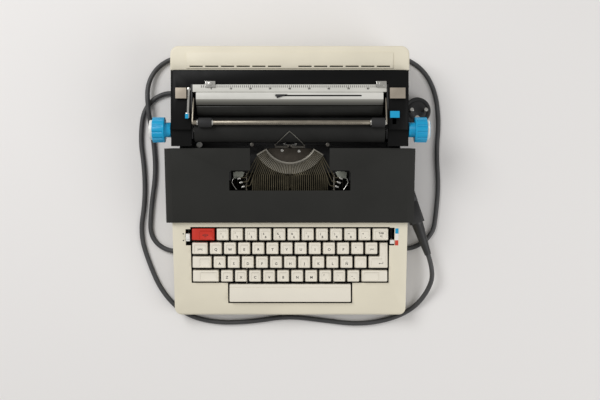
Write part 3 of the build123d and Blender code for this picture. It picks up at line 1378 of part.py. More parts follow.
def mains_inlet():
    width, length, height = INLET_SIZE
    x, y, z = INLET_FACE
    body = inlet_frame() * Pos(0, length / 2, 0) * Box(width, length, height)
    body += slab((PAN_WIDTH / 2, x - width * 0.42), (y + length * 0.35, y + length), span(height, z))
    cavity = (width - 2 * INLET_WALL, INLET_DEPTH, height - 2 * INLET_WALL)
    body -= inlet_frame() * Pos(0, cavity[1] / 2, 0) * Box(*cavity)
    start = INLET_DEPTH - INLET_PIN_LENGTH
    pins = inlet_pins(INLET_PIN_RADIUS, start, INLET_PIN_LENGTH)
    body += [inlet_frame() * pin for pin in pins]
    return body & slab((PAN_WIDTH / 2, x + 2 * width), span(4 * length, y), span(2 * height, z))


def cord_coupler():
    """Connector in the inlet, with a tapered strain relief."""
    width, length, height = INLET_SIZE
    gap = INLET_WALL + PIVOT_GAP
    nose = Pos(0, INLET_DEPTH / 2 - 0.5, 0) * Box(width - 2 * gap, INLET_DEPTH - 1, height - 2 * gap)
    nose -= inlet_pins(INLET_PIN_RADIUS + PIVOT_GAP, 0.0, INLET_DEPTH)
    grip = Pos(0, -COUPLER_BODY / 2, 0) * Box(width, COUPLER_BODY, height)
    grip = fillet(grip.edges().filter_by(Axis.Y), 3.0)
    sleeve_length = COUPLER_LENGTH - COUPLER_BODY
    sleeve = Rot(90, 0, 0) * Cone(
        height / 2 - 0.5,
        CORD_RADIUS + 1.2,
        sleeve_length,
        align=(Align.CENTER, Align.CENTER, Align.MIN),
    )
    return inlet_frame() * (nose + grip + Pos(0, -COUPLER_BODY, 0) * sleeve)


def plug_entry():
    """Unit direction in plan in which the cord enters the plug."""
    angle = math.radians(PLUG_ENTRY)
    return (math.cos(angle), math.sin(angle))


def mains_plug():
    x, y = PLUG_PLACE
    body = rod_z(x, y, (0, PLUG_HEIGHT), PLUG_RADIUS)
    body -= rod_z(x, y, (PLUG_HEIGHT - 2.0, PLUG_HEIGHT), PLUG_RADIUS - 4.0) - rod_z(
        x, y, (PLUG_HEIGHT - 2.0, PLUG_HEIGHT), PLUG_RADIUS - 6.0
    )
    for side in (-1, 1):
        top = PLUG_HEIGHT + PLUG_PIN_LENGTH
        body += rod_z(x + side * PLUG_PIN_PITCH / 2, y, (PLUG_HEIGHT - 3, top), PLUG_PIN_RADIUS)
    body -= rod_z(x, y - PLUG_RADIUS / 2, (PLUG_HEIGHT - 8.0, PLUG_HEIGHT), PLUG_PIN_RADIUS)
    reach = PLUG_SLEEVE_REACH
    sleeve = Cylinder(PLUG_SLEEVE_RADIUS, reach, align=(Align.CENTER, Align.CENTER, Align.MIN))
    body += Pos(x, y, PLUG_SLEEVE_Z) * Rot(0, 0, PLUG_ENTRY) * Rot(0, -90, 0) * sleeve
    return body


def coupler_end(distance):
    """A point on the coupler's axis, at a distance from the inlet's face."""
    angle = math.radians(INLET_TURN)
    x, y, z = INLET_FACE
    return (x + distance * math.sin(angle), y - distance * math.cos(angle), z)


def before_plug(distance):
    """A point in line with the plug's sleeve, at a distance from the plug's middle."""
    enter = plug_entry()
    return (
        PLUG_PLACE[0] - distance * enter[0],
        PLUG_PLACE[1] - distance * enter[1],
        PLUG_SLEEVE_Z,
    )


def cord_route():
    """Corner points of the cord, from the coupler round the machine to the plug."""
    low = CORD_Z
    return [
        coupler_end(COUPLER_LENGTH),
        coupler_end(COUPLER_LENGTH + CORD_FIRST_RUN),
        (190.0, -150.0, 10.5),
        (170.0, -175.0, low),
        (136.0, -190.0, low),
        (92.0, -196.0, low),
        (44.0, -190.0, low),
        (-4.0, -184.5, low),
        (-52.0, -192.0, low),
        (-102.0, -194.0, low),
        (-146.0, -183.0, low),
        (-178.0, -152.0, low),
        (-196.0, -112.0, low),
        (-209.0, -70.0, low),
        (-202.0, -24.0, low),
        (-203.0, 22.0, low),
        (-209.0, 63.0, low),
        (-203.0, 109.8, low),
        (-167.0, 130.6, low),
        (-131.0, 109.8, low),
        (-128.0, 60.0, low),
        (-132.0, 12.0, low),
        (-125.5, -32.0, low),
        (-124.5, -78.5, low),
        (-160.0, -99.0, low),
        (-195.5, -78.5, low),
        (-193.5, -32.0, low),
        (-187.0, 14.0, low),
        (-190.0, 60.0, low),
        (-197.0, 104.0, 13.5),
        (-198.0, 140.0, 10.0),
        (-180.0, 168.0, low),
        (-146.0, 179.0, low),
        (-100.0, 174.0, low),
        (-50.0, 177.0, low),
        (0.0, 173.0, low),
        (50.0, 177.0, low),
        (100.0, 173.0, low),
        (146.0, 179.0, low),
        (180.0, 164.0, low),
        (200.0, 134.0, low),
        (207.0, 90.0, low),
        (203.0, 44.0, low),
        (206.0, -2.0, low),
        (203.0, -38.0, low),
        (198.0, -73.9, low),
        (160.0, -95.9, low),
        (122.0, -73.9, low),
        (124.0, -26.0, low),
        (130.0, 22.0, low),
        before_plug(PLUG_SLEEVE_REACH + CORD_LAST_RUN),
        before_plug(PLUG_SLEEVE_REACH),
    ]


def cord_radii(points):
    """As large an arc at each corner as its two runs allow."""
    radii = []
    for before, corner, after in zip(points, points[1:], points[2:]):
        first = Vector(*corner) - Vector(*before)
        second = Vector(*after) - Vector(*corner)
        half_turn = math.radians(first.get_angle(second)) / 2
        radii.append(0.45 * min(first.length, second.length) / math.tan(half_turn))
    return radii


def mains_cord():
    points = cord_route()
    radii = cord_radii(points)
    path = FilletPolyline(*points, radius=radii)
    section = Plane(origin=path @ 0, z_dir=path % 0) * Circle(CORD_RADIUS)
    tube = sweep(section, path=path)
    print("cord radii", [round(radius) for radius in radii])
    wanted = math.pi * CORD_RADIUS**2 * path.length
    print(f"cord length {path.length:.0f} volume {tube.volume:.0f} section times length {wanted:.0f}")
    return tube


# Sub-parts

write(
    "base_pan",
    base_pan(),
    slider_rail(slider_x(), SELECTOR_Y + SELECTOR_TRAVEL / 2, SELECTOR_TRAVEL + 6.0),
    slider_rail(-slider_x(), SWITCH_Y, 2 * SWITCH_TRAVEL + 6.0),
)
write("rubber_feet", [rubber_foot(place) for place in foot_places()])
write("housing_screws", [screw(place, boss_top(place)) for place in DECK_BOSSES + REAR_BOSSES])
write("keyboard_housing", keyboard_housing())
write("rear_cover", rear_cover())
write("ribbon_cover", ribbon_cover())
write("chassis_frame", chassis_frame())
write("type_segment", type_segment())
write("typebars", typebars())
write("centre_typebar", centre_typebar())
write("type_guide", type_guide())
write("card_wire", card_wire() + mirrored(card_wire()))
write("ink_ribbon", ink_ribbon())
write("ribbon_carrier", ribbon_carrier())
write("ribbon_spool_left", ribbon_spool(-1))
write("ribbon_spool_right", ribbon_spool(1))
write("drive_motor", drive_motor())
write("motor_pulley", motor_pulley())
write("drive_belt", drive_belt())
write("power_roller", power_roller())
write("mainspring_drum", mainspring_drum())
write("letter_keys_row_1", letter_row(1, 1.75, 11))
write("letter_keys_row_2", letter_row(2, 1.25, 11, left_out=5))
write("letter_keys_row_3", letter_row(3, 1.5, 11))
write("letter_keys_row_4", letter_row(4, 2.0, 10))
write("centre_key", key(2, 6.25, 1))
write("red_key", key(1, 0.0, 1.75, lever_units=1.25, dish_units=(0.55, 1.75)))
write("tab_key", key(1, 12.75, 1.25, lever_units=13.25))
write("margin_release_key", key(2, 0.0, 1.25, lever_units=0.75))
write("backspace_key", key(2, 12.25, 1))
write("shift_lock_key", key(3, 0.0, 1.5, lever_units=1.0, dish_units=(0.5, 1.5)))
write("return_key", return_key())
write(
    "shift_keys",
    key(4, 0.0, 2.0, lever_units=1.5, dish_units=(0.5, 2.0)),
    key(4, 12.0, 2.0, lever_units=12.5, dish_units=(12.0, 13.7)),
)
write("space_bar", space_bar())
write("power_switch", slider(-slider_x(), SWITCH_Y, 10.0, 5.4))
write("ribbon_selector", slider(slider_x(), SELECTOR_Y, 5.0, 5.4))
write("carriage_lock_button", lock_button())
write("carriage_frame", carriage_frame())
write("carriage_end_plates", both_sides(end_plate()))
write("paper_table", paper_table())
write("scale_strip", scale_strip())
write("paper_guide", paper_guide())
write("margin_rail", margin_rail())
write("margin_stop_left", margin_stop(LEFT_STOP_X))
write("margin_stop_right", margin_stop(RIGHT_STOP_X))
write("platen_roller", platen_roller())
write("platen_shaft", platen_shaft())
write("platen_knobs", left_knob(), platen_knob(), knob_cap())
write("knob_button", knob_button())
write("feed_rollers", feed_rollers())
write("paper_bail", paper_bail())
write("bail_rollers", [bail_roller(x) for x in BAIL_ROLLER_X])
write("carriage_release_left", release_tab(LEFT_TAB_X, -1))
write("carriage_release_right", release_tab(RIGHT_TAB_X, 1))
write("paper_release", paper_release())
write("line_space_lever", line_space_lever())
write("mains_inlet", mains_inlet())
write("cord_coupler", cord_coupler())
write("mains_plug", mains_plug())
write("mains_cord", mains_cord())
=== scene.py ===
# %% [markdown]
# This lesson dresses a portable electric typewriter, seen from straight above. The solids of the
# construction model already stand in the right place, so the work here is to give each one its
# finish and its soft edges, and to add what a construction model leaves out.

# %% Load the frame
import math

import bmesh
import bpy
from mathutils import Matrix, Vector


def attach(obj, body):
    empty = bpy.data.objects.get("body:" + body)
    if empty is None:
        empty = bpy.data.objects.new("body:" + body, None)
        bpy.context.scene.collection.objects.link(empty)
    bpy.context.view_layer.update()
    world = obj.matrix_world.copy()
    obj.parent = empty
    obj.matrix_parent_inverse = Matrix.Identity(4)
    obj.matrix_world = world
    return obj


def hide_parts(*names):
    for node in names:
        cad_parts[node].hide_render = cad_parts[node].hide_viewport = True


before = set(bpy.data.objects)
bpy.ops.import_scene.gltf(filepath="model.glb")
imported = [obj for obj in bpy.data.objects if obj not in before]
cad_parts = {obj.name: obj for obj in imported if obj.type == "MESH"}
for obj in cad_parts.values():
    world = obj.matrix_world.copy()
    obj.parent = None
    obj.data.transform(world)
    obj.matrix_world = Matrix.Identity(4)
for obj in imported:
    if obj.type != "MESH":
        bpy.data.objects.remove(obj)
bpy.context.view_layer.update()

MM = 0.001

# %% [markdown]
# The camera looks straight down from 1.3 m, so the picture's upper edge is the rear of the
# machine, and a long lens keeps the sides of the case nearly hidden. A broad lamp at the upper
# left gives the soft shadow to the lower right, and a weaker one opens the shadows.

# %% Camera, floor and light
CAMERA_PLACE = (13.4 * MM, -22.9 * MM, 1.3)
FOCAL_PIXELS = 931.7
FRAME_PIXELS = 600
SENSOR = 36.0
FLOOR_CORNERS = [(-3, -3, 0), (3, -3, 0), (3, 3, 0), (-3, 3, 0)]
FLOOR_COLOUR = (0.80, 0.785, 0.775, 1.0)
FLOOR_ROUGHNESS = 0.75
ROOM_COLOUR = (1.0, 0.985, 0.965, 1.0)
ROOM_STRENGTH = 0.45


def add_object(name, data):
    """Puts a mesh, a curve, a text, a lamp or a camera into the scene."""
    made = bpy.data.objects.new(name, data)
    bpy.context.scene.collection.objects.link(made)
    return made


def set_inputs(node, values):
    """Sets a node's inputs, each by its name or its number."""
    for name, value in values.items():
        node.inputs[name].default_value = value


def make_lamp(name, place, size, power):
    """A round lamp that points at the machine."""
    data = bpy.data.lights.new(name, "AREA")
    data.shape = "DISK"
    data.size = size
    data.energy = power
    lamp = add_object(name, data)
    lamp.location = place
    lamp.rotation_euler = (-Vector(place)).to_track_quat("-Z", "Y").to_euler()


bpy.context.scene.view_settings.view_transform = "Standard"
lens = bpy.data.cameras.new("camera")
lens.sensor_width = SENSOR
lens.lens = FOCAL_PIXELS * SENSOR / FRAME_PIXELS
camera = add_object("camera", lens)
camera.location = CAMERA_PLACE
bpy.context.scene.camera = camera
print("camera lens", round(lens.lens, 1), "mm")

floor_finish = bpy.data.materials.new("pale_floor")
floor_finish.use_nodes = True
shader = floor_finish.node_tree.nodes["Principled BSDF"]
set_inputs(shader, {"Base Color": FLOOR_COLOUR, "Roughness": FLOOR_ROUGHNESS})
floor_mesh = bpy.data.meshes.new("floor")
floor_mesh.from_pydata(FLOOR_CORNERS, [], [(0, 1, 2, 3)])
floor_mesh.materials.append(floor_finish)
add_object("floor", floor_mesh)

room = bpy.data.worlds.new("room")
room.use_nodes = True
background = room.node_tree.nodes["Background"]
set_inputs(background, {"Color": ROOM_COLOUR, "Strength": ROOM_STRENGTH})
bpy.context.scene.world = room
make_lamp("upper_left_lamp", (-1.1, 1.0, 1.7), 1.2, 26.0)
make_lamp("right_fill_lamp", (1.5, -0.6, 1.3), 1.5, 12.0)

# %% [markdown]
# Every finish is a small node tree on one Principled shader. A noise mixes a slightly darker
# and a slightly lighter tone, a finer one moves the roughness, and the finest drives a shallow
# bump. Dusty metal gets specks of a second colour. Plastic, paint, rubber and metal differ only
# in numbers, so one function serves them all.

# %% A function for finishes
TINT_STEPS = (0.35, 0.65)
DUST_STEPS = [(0.66, (0, 0, 0, 1)), (0.74, (1, 1, 1, 1))]
DUST_SCALE = 420.0
WEAR_FINENESS = 7
LEAST_ROUGHNESS = 0.03
BUMP_DEPTH = 0.0001


def linear(channel):
    value = channel / 255
    return value / 12.92 if value <= 0.04045 else ((value + 0.055) / 1.055) ** 2.4


def colour(tone, factor=1.0):
    """A tone of 0 to 255 a channel as a shader colour, lighter or darker by a factor."""
    return tuple(min(1.0, linear(channel) * factor) for channel in tone) + (1.0,)


def add_node(tree, kind, values=None, **settings):
    """A new node with its settings and then its inputs."""
    node = tree.nodes.new(kind)
    for name, value in settings.items():
        setattr(node, name, value)
    set_inputs(node, values or {})
    return node


def wire(source, output, target, socket):
    """Links an output of one node to an input of another."""
    source.id_data.links.new(source.outputs[output], target.inputs[socket])


def noise_node(tree, scale, detail, stretch=(1, 1, 1)):
    """A noise in object coordinates, stretched along X, Y and Z."""
    place = add_node(tree, "ShaderNodeTexCoord")
    mapping = add_node(tree, "ShaderNodeMapping", {"Scale": stretch})
    noise = add_node(tree, "ShaderNodeTexNoise", {"Scale": scale, "Detail": detail})
    wire(place, "Object", mapping, "Vector")
    wire(mapping, "Vector", noise, "Vector")
    return noise


def ramp_node(tree, source, output, steps):
    """A colour ramp of (position, colour) steps, driven by another node."""
    ramp = add_node(tree, "ShaderNodeValToRGB")
    elements = ramp.color_ramp.elements
    elements[0].position, elements[0].color = steps[0]
    elements[1].position, elements[1].color = steps[-1]
    for position, tone in steps[1:-1]:
        elements.new(position).color = tone
    wire(source, output, ramp, "Fac")
    return ramp


def finish(
    name, tone, rough, mottle, scale=14.0, metal=0.0, grain=0.0, grain_scale=1600.0,
    rough_spread=0.08, coat=0.0, stretch=(1, 1, 1), dust=None, shine=0.5,
):
    """A material with a tone, a roughness and a mottling."""
    material = bpy.data.materials.new(name)
    material.use_nodes = True
    tree = material.node_tree
    shader = tree.nodes["Principled BSDF"]
    set_inputs(shader, {"Metallic": metal, "Coat Weight": coat, "Specular IOR Level": shine})
    cloudy = noise_node(tree, scale, 4.0)
    tones = (colour(tone, 1 - mottle), colour(tone, 1 + mottle))
    tint = ramp_node(tree, cloudy, "Fac", list(zip(TINT_STEPS, tones)))
    base = (tint, "Color")
    if dust:
        specks = noise_node(tree, DUST_SCALE, 5.0)
        speck_ramp = ramp_node(tree, specks, "Fac", DUST_STEPS)
        mix = add_node(tree, "ShaderNodeMix", {"B": colour(dust)}, data_type="RGBA")
        wire(speck_ramp, "Color", mix, "Factor")
        wire(*base, mix, "A")
        base = (mix, "Result")
    wire(*base, shader, "Base Color")
    wear = noise_node(tree, scale * WEAR_FINENESS, 3.0, stretch)
    least = max(LEAST_ROUGHNESS, rough - rough_spread)
    most = min(1.0, rough + rough_spread)
    gloss = add_node(tree, "ShaderNodeMapRange", {"To Min": least, "To Max": most})
    wire(wear, "Fac", gloss, "Value")
    wire(gloss, "Result", shader, "Roughness")
    if grain:
        fine = noise_node(tree, grain_scale, 2.0, stretch)
        bump = add_node(tree, "ShaderNodeBump", {"Strength": grain, "Distance": BUMP_DEPTH})
        wire(fine, "Fac", bump, "Height")
        wire(bump, "Normal", shader, "Normal")
    return material


print("middle grey is", round(linear(128), 3), "in the shader")

# %% [markdown]
# The palette follows the photograph: a warm cream case with slightly paler keys, one red key, a
# dark grey textured cover, a near-black carriage, bright blue handles and plated steel. The big
# mouldings get a fine grain, and stretched noise gives plated parts a brushed look.

# %% Finishes of this typewriter
CREAM = finish("cream_case", (224, 217, 197), 0.52, 0.035, grain=0.35)
KEY_CREAM = finish("key_cream", (228, 222, 208), 0.36, 0.02, grain=0.12, coat=0.15)
KEY_RED = finish("key_red", (196, 50, 36), 0.36, 0.05, grain=0.12, coat=0.1, shine=0.3)
LEVER_STEEL = finish("key_lever_steel", (58, 55, 49), 0.45, 0.1, metal=0.9)
COVER_GREY = finish("cover_grey", (42, 42, 40), 0.55, 0.07, grain=0.55, grain_scale=1300.0, shine=0.15)
CARRIAGE_BLACK = finish("carriage_black", (16, 16, 16), 0.42, 0.12, grain=0.4, shine=0.1)
TABLE_BLACK = finish("paper_table_black", (44, 44, 42), 0.38, 0.15, 30, grain=0.2, shine=0.25)
PAN_BLACK = finish("pan_black", (26, 26, 27), 0.6, 0.12, grain=0.5)
CHASSIS_PAINT = finish("chassis_paint", (46, 46, 47), 0.5, 0.15, metal=0.4, grain=0.3)
SEGMENT_METAL = finish(
    "segment_metal", (158, 154, 144), 0.36, 0.12, 60, metal=0.85, grain=0.25, dust=(96, 90, 80),
)
TYPEBAR_STEEL = finish(
    "typebar_steel", (92, 86, 70), 0.4, 0.25, 90, metal=0.9, grain=0.2, dust=(36, 31, 25),
)
NICKEL = finish(
    "nickel_plate", (196, 195, 190), 0.26, 0.08, 50, metal=1.0, grain=0.12, stretch=(0.15, 1.0, 1.0),
)
WIRE_STEEL = finish("wire_steel", (120, 118, 112), 0.4, 0.1, 80, metal=0.9)
GUIDE_STEEL = finish("guide_steel", (92, 89, 84), 0.36, 0.2, 80, metal=0.9, grain=0.15)
SHEET_STEEL = finish("sheet_steel", (76, 70, 62), 0.45, 0.16, 60, metal=0.6, grain=0.25, dust=(70, 62, 54))
REST_STEEL = finish("rest_steel", (150, 153, 143), 0.42, 0.1, 60, metal=0.6, grain=0.2)
SCALE_INK = finish("scale_ink", (62, 58, 54), 0.6, 0.12, 200)
LABEL_RED = finish("label_red", (205, 66, 48), 0.4, 0.05, 120)
SCALE_PAINT = finish("scale_paint", (201, 200, 193), 0.4, 0.04, 40, grain=0.1)
# Light paint of the strip; its slope gets painted shade further down.
STRIP_PAINT_AND_SHADE = finish("strip_paint_and_slope_shade", (206, 205, 199), 0.38, 0.04, 40)
BAIL_STEEL = finish("bail_steel", (148, 141, 128), 0.36, 0.12, 120, metal=0.9, rough_spread=0.12)
TAB_STEEL = finish("tab_steel", (168, 158, 144), 0.42, 0.08, 60, metal=0.7, grain=0.2, stretch=(1, 8, 1))
PLATEN_RUBBER = finish("platen_rubber", (33, 33, 32), 0.62, 0.15, 30, grain=0.3, shine=0.15)
SOFT_RUBBER = finish("soft_rubber", (30, 30, 31), 0.75, 0.15, grain=0.5)
HANDLE_BLUE = finish("handle_blue", (15, 154, 201), 0.34, 0.05, grain=0.15, coat=0.1, shine=0.35)
WHITE_PLASTIC = finish("white_plastic", (232, 231, 226), 0.35, 0.03, grain=0.1, coat=0.1)
RIBBON_CLOTH = finish("ribbon_cloth", (20, 20, 24), 0.8, 0.2, 200, grain=0.8)
SPOOL_PLASTIC = finish("spool_plastic", (30, 30, 32), 0.4, 0.1, grain=0.2)
PLUG_PLASTIC = finish("plug_plastic", (36, 36, 37), 0.42, 0.12, grain=0.3)
CORD_SHEATH = finish("cord_sheath", (62, 62, 63), 0.5, 0.12, 60, grain=0.3)
LEGEND_INK = finish("legend_ink", (34, 31, 28), 0.6, 0.1, 300)
print("finishes", len(bpy.data.materials))

# %% [markdown]
# The strip behind the paper plate is one bent sheet: its flat part keeps its light paint, and its
# slope gets painted shade that falls into grey towards its front edge. A ramp along Y on the
# strip's own coordinates paints that shade.

# %% Painted shade on the slope of the strip
STRIP_KNEE_Y = 108.0
STRIP_EDGE_Y = 100.6
# Painted shade: greys that darken down the slope towards its front edge.
SLOPE_SHADE_TONES = [(0.0, (62, 61, 57)), (0.45, (92, 91, 85)), (0.93, (140, 139, 132))]
SLOPE_SHADE_END = 0.97


def paint_slope_shade(material):
    """Puts painted shade, in falling greys, in front of the knee and keeps the paint behind it."""
    tree = material.node_tree
    shader = tree.nodes["Principled BSDF"]
    flat = shader.inputs["Base Color"].links[0].from_node
    place = add_node(tree, "ShaderNodeTexCoord")
    parts = add_node(tree, "ShaderNodeSeparateXYZ")
    slope = {"From Min": STRIP_EDGE_Y * MM, "From Max": STRIP_KNEE_Y * MM}
    along = add_node(tree, "ShaderNodeMapRange", slope)
    ramp = ramp_node(tree, along, "Result", [(step, colour(tone)) for step, tone in SLOPE_SHADE_TONES])
    choose = add_node(tree, "ShaderNodeMath", {1: SLOPE_SHADE_END}, operation="GREATER_THAN")
    mix = add_node(tree, "ShaderNodeMix", data_type="RGBA")
    wire(place, "Object", parts, "Vector")
    wire(parts, "Y", along, "Value")
    wire(along, "Result", choose, 0)
    wire(choose, "Value", mix, "Factor")
    wire(ramp, "Color", mix, "A")
    wire(flat, "Color", mix, "B")
    wire(mix, "Result", shader, "Base Color")


# Paints shade on the strip's slope, darkest at its front edge.
paint_slope_shade(STRIP_PAINT_AND_SHADE)
print("slope", round(STRIP_KNEE_Y - STRIP_EDGE_Y, 1), "mm deep")

# %% [markdown]
# A construction model has knife-sharp edges, and real mouldings never do: the thin bright line
# along a rounded edge makes a surface look solid. The node meshes are loose triangles, so a Weld
# modifier joins them, a Bevel modifier rounds every edge that turns by more than about thirty
# degrees, and a few Geometry Nodes shade the faces smooth.

# %% Round the edges of a solid
EDGE_ANGLE = math.radians(32)
WELD_DISTANCE = 0.00001


def new_tree(name, sizes):
    """A tree of Geometry Nodes with a named input for each size."""
    tree = bpy.data.node_groups.new(name, "GeometryNodeTree")
    tree.interface.new_socket("Geometry", in_out="INPUT", socket_type="NodeSocketGeometry")
    for title, value in sizes.items():
        socket = tree.interface.new_socket(title, in_out="INPUT", socket_type="NodeSocketFloat")
        socket.default_value = value
    tree.interface.new_socket("Geometry", in_out="OUTPUT", socket_type="NodeSocketGeometry")
    return tree, add_node(tree, "NodeGroupInput"), add_node(tree, "NodeGroupOutput")


def smoothing_tree():
    """Shades every face smooth and keeps edges over an angle sharp."""
    tree, start, end = new_tree("smooth_by_angle", {"Angle": EDGE_ANGLE})
    faces = add_node(tree, "GeometryNodeSetShadeSmooth")
    edges = add_node(tree, "GeometryNodeSetShadeSmooth", {"Shade Smooth": False}, domain="EDGE")
    turn = add_node(tree, "GeometryNodeInputMeshEdgeAngle")
    sharp = add_node(tree, "FunctionNodeCompare", operation="GREATER_THAN")
    wire(start, "Geometry", faces, "Geometry")
    wire(faces, "Geometry", edges, "Geometry")
    wire(turn, "Unsigned Angle", sharp, "A")
    wire(start, "Angle", sharp, "B")
    wire(sharp, "Result", edges, "Selection")
    wire(edges, "Geometry", end, "Geometry")
    return tree


SMOOTHING = smoothing_tree()


def soften(piece, width, segments=2):
    """Rounds a piece's sharp edges by a width in millimetres, if any, and shades it smooth."""
    if width:
        bevel = piece.modifiers.new("soft_edges", "BEVEL")
        bevel.width = width * MM
        bevel.segments = segments
        bevel.limit_method = "ANGLE"
        bevel.angle_limit = EDGE_ANGLE
        bevel.use_clamp_overlap = True
    modifier = piece.modifiers.new("smooth_by_angle", "NODES")
    modifier.node_group = SMOOTHING


def dress(node, material, width, segments=2):
    """Gives a construction solid its finish and its soft edges."""
    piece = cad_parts[node]
    if not piece.material_slots:
        piece.data.materials.append(None)
    for slot in piece.material_slots:
        slot.link = "OBJECT"
        slot.material = material
    join = piece.modifiers.new("weld", "WELD")
    join.merge_threshold = WELD_DISTANCE
    soften(piece, width, segments)


print("soft edges over", round(math.degrees(EDGE_ANGLE)), "degrees")

# %% [markdown]
# Most solids keep their shape, so they only need a finish and an edge width that suits how the
# piece is made: wide on soft mouldings, narrow on cut sheet metal.

# %% Dress the solids
SOLID_FINISHES = [
    (PAN_BLACK, {"base_pan": 0.6}),
    (CREAM, {"keyboard_housing": 0.9, "rear_cover": 0.8}),
    (COVER_GREY, {"ribbon_cover": 0.9}),
    (CHASSIS_PAINT, {"chassis_frame": 0.3, "drive_motor": 0.6, "carriage_end_plates": 0.3}),
    (SOFT_RUBBER, {"rubber_feet": 0.8, "drive_belt": 0.0, "power_roller": 0.3}),
    (SOFT_RUBBER, {"feed_rollers": 0.3, "bail_rollers": 0.6}),
    (NICKEL, {"housing_screws": 0.3, "ribbon_carrier": 0.15, "motor_pulley": 0.3}),
    (NICKEL, {"mainspring_drum": 0.4, "margin_stop_left": 0.4, "margin_stop_right": 0.4}),
    (NICKEL, {"platen_shaft": 0.2, "line_space_lever": 0.3}),
    (TYPEBAR_STEEL, {"centre_typebar": 0.12}),
    (GUIDE_STEEL, {"type_guide": 0.25}),
    (WIRE_STEEL, {"card_wire": 0.0}),
    (RIBBON_CLOTH, {"ink_ribbon": 0.0}),
    (SPOOL_PLASTIC, {"ribbon_spool_left": 0.3, "ribbon_spool_right": 0.3, "paper_guide": 0.2}),
    (WHITE_PLASTIC, {"power_switch": 0.5, "ribbon_selector": 0.5}),
    (WHITE_PLASTIC, {"carriage_lock_button": 0.8, "knob_button": 0.9}),
    (CARRIAGE_BLACK, {"carriage_frame": 0.8}),
    (TABLE_BLACK, {"paper_table": 0.2}),
    (STRIP_PAINT_AND_SHADE, {"scale_strip": 0.2}),
    (SCALE_PAINT, {"margin_rail": 0.2}),
    (PLATEN_RUBBER, {"platen_roller": 0.4}),
    (HANDLE_BLUE, {"platen_knobs": 0.7, "paper_release": 0.9}),
    (BAIL_STEEL, {"paper_bail": 0.3}),
    (TAB_STEEL, {"carriage_release_left": 0.6, "carriage_release_right": 0.6}),
    (PLUG_PLASTIC, {"mains_inlet": 0.4, "cord_coupler": 0.6, "mains_plug": 0.8}),
]

for material, widths in SOLID_FINISHES:
    for node, width in widths.items():
        dress(node, material, width)
print("dressed", sum(len(widths) for _, widths in SOLID_FINISHES), "solids")

# %% [markdown]
# The cord is one smooth curve, a NURBS spline on the corners of the route that the solid tube
# follows. It leaves the coupler, lies round the front and the left side with a doubled loop,
# passes behind and ends in the plug.

# %% The mains cord
CORD_RADIUS = 3.25 * MM
CORD_FLOOR_Z = 3.4


def on_floor(*places):
    """Corners of the route where the cord lies on the floor."""
    return [(x, y, CORD_FLOOR_Z) for x, y in places]


CORD_POINTS = [
    (189.24, -97.86, 20.0), (197.71, -122.44, 20.0), (190.0, -150.0, 10.5),
    *on_floor(
        (170, -175), (136, -190), (92, -196), (44, -190), (-4, -184.5),
        (-52, -192), (-102, -194), (-146, -183), (-178, -152), (-196, -112),
        (-209, -70), (-202, -24), (-203, 22), (-209, 63), (-203, 109.8),
        (-167, 130.6), (-131, 109.8), (-128, 60), (-132, 12), (-125.5, -32),
        (-124.5, -78.5), (-160, -99), (-195.5, -78.5), (-193.5, -32), (-187, 14),
        (-190, 60),
    ),
    (-197.0, 104.0, 13.5), (-198.0, 140.0, 10.0),
    *on_floor(
        (-180, 168), (-146, 179), (-100, 174), (-50, 177), (0, 173),
        (50, 177), (100, 173), (146, 179), (180, 164), (200, 134),
        (207, 90), (203, 44), (206, -2), (203, -38), (198, -73.9),
        (160, -95.9), (122, -73.9), (124, -26), (130, 22),
    ),
    (135.99, 61.94, 5.6), (153.53, 79.05, 5.6),
]


def tube_curve(name, kind, lines, radius, roundness):
    """Round tubes along lists of places in millimetres, as one curve."""
    data = bpy.data.curves.new(name, "CURVE")
    data.dimensions = "3D"
    data.bevel_depth = radius
    data.bevel_resolution = roundness
    data.use_fill_caps = True
    for line in lines:
        spline = data.splines.new(kind)
        spline.points.add(len(line) - 1)
        for point, place in zip(spline.points, line):
            point.co = (*(value * MM for value in place), 1.0)
    return data


route = tube_curve("cord", "NURBS", [CORD_POINTS], CORD_RADIUS, 5)
route.resolution_u = 10
route.splines[0].order_u = 3
route.splines[0].use_endpoint_u = True
route.materials.append(CORD_SHEATH)
cord = add_object("cord_on_the_floor", route)
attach(cord, "machine_base")
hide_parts("mains_cord")
print("cord on", len(CORD_POINTS), "points")

# %% [markdown]
# A key cap is a low hollow block with a finger dish. The dish isn't central: its rim is broad at
# the rear and the left and thin at the front, and that is what the eye reads in the photograph.
# A stack of rounded outlines, each moved inwards by its own amount on each side and joined by
# faces, makes it in one go, and also the L-shaped return key.

# %% Outlines and rings
CORNER_STEPS = 5
SAME_LINE = 1e-9


def inset(corners, amounts):
    """Moves each side of a right-angled outline inwards by its own amount."""
    count = len(corners)
    moved = []
    for index, (x, y) in enumerate(corners):
        for side in (index - 1, index):
            first = corners[side % count]
            last = corners[(side + 1) % count]
            amount = amounts[side % count]
            if abs(first[1] - last[1]) < SAME_LINE:
                y += amount if last[0] > first[0] else -amount
            else:
                x += -amount if last[1] > first[1] else amount
        moved.append((x, y))
    return moved


def rounded(corners, radius):
    """Points of a right-angled outline with an arc at each corner."""
    points = []
    for index, corner in enumerate(corners):
        corner = Vector(corner)
        into = (corner - Vector(corners[index - 1])).normalized()
        out = (Vector(corners[(index + 1) % len(corners)]) - corner).normalized()
        centre = corner - into * radius + out * radius
        for step in range(CORNER_STEPS + 1):
            turn = math.pi / 2 * step / CORNER_STEPS
            points.append(centre + (into * math.sin(turn) - out * math.cos(turn)) * radius)
    return points


def add_skin(build, rows):
    """Joins equal rows of places in millimetres and closes both ends."""
    made = [[build.verts.new([value * MM for value in place]) for place in row] for row in rows]
    for before, after in zip(made, made[1:]):
        for n in range(len(before)):
            m = (n + 1) % len(before)
            build.faces.new((before[n], before[m], after[m], after[n]))
    build.faces.new(made[0][::-1])
    build.faces.new(made[-1])


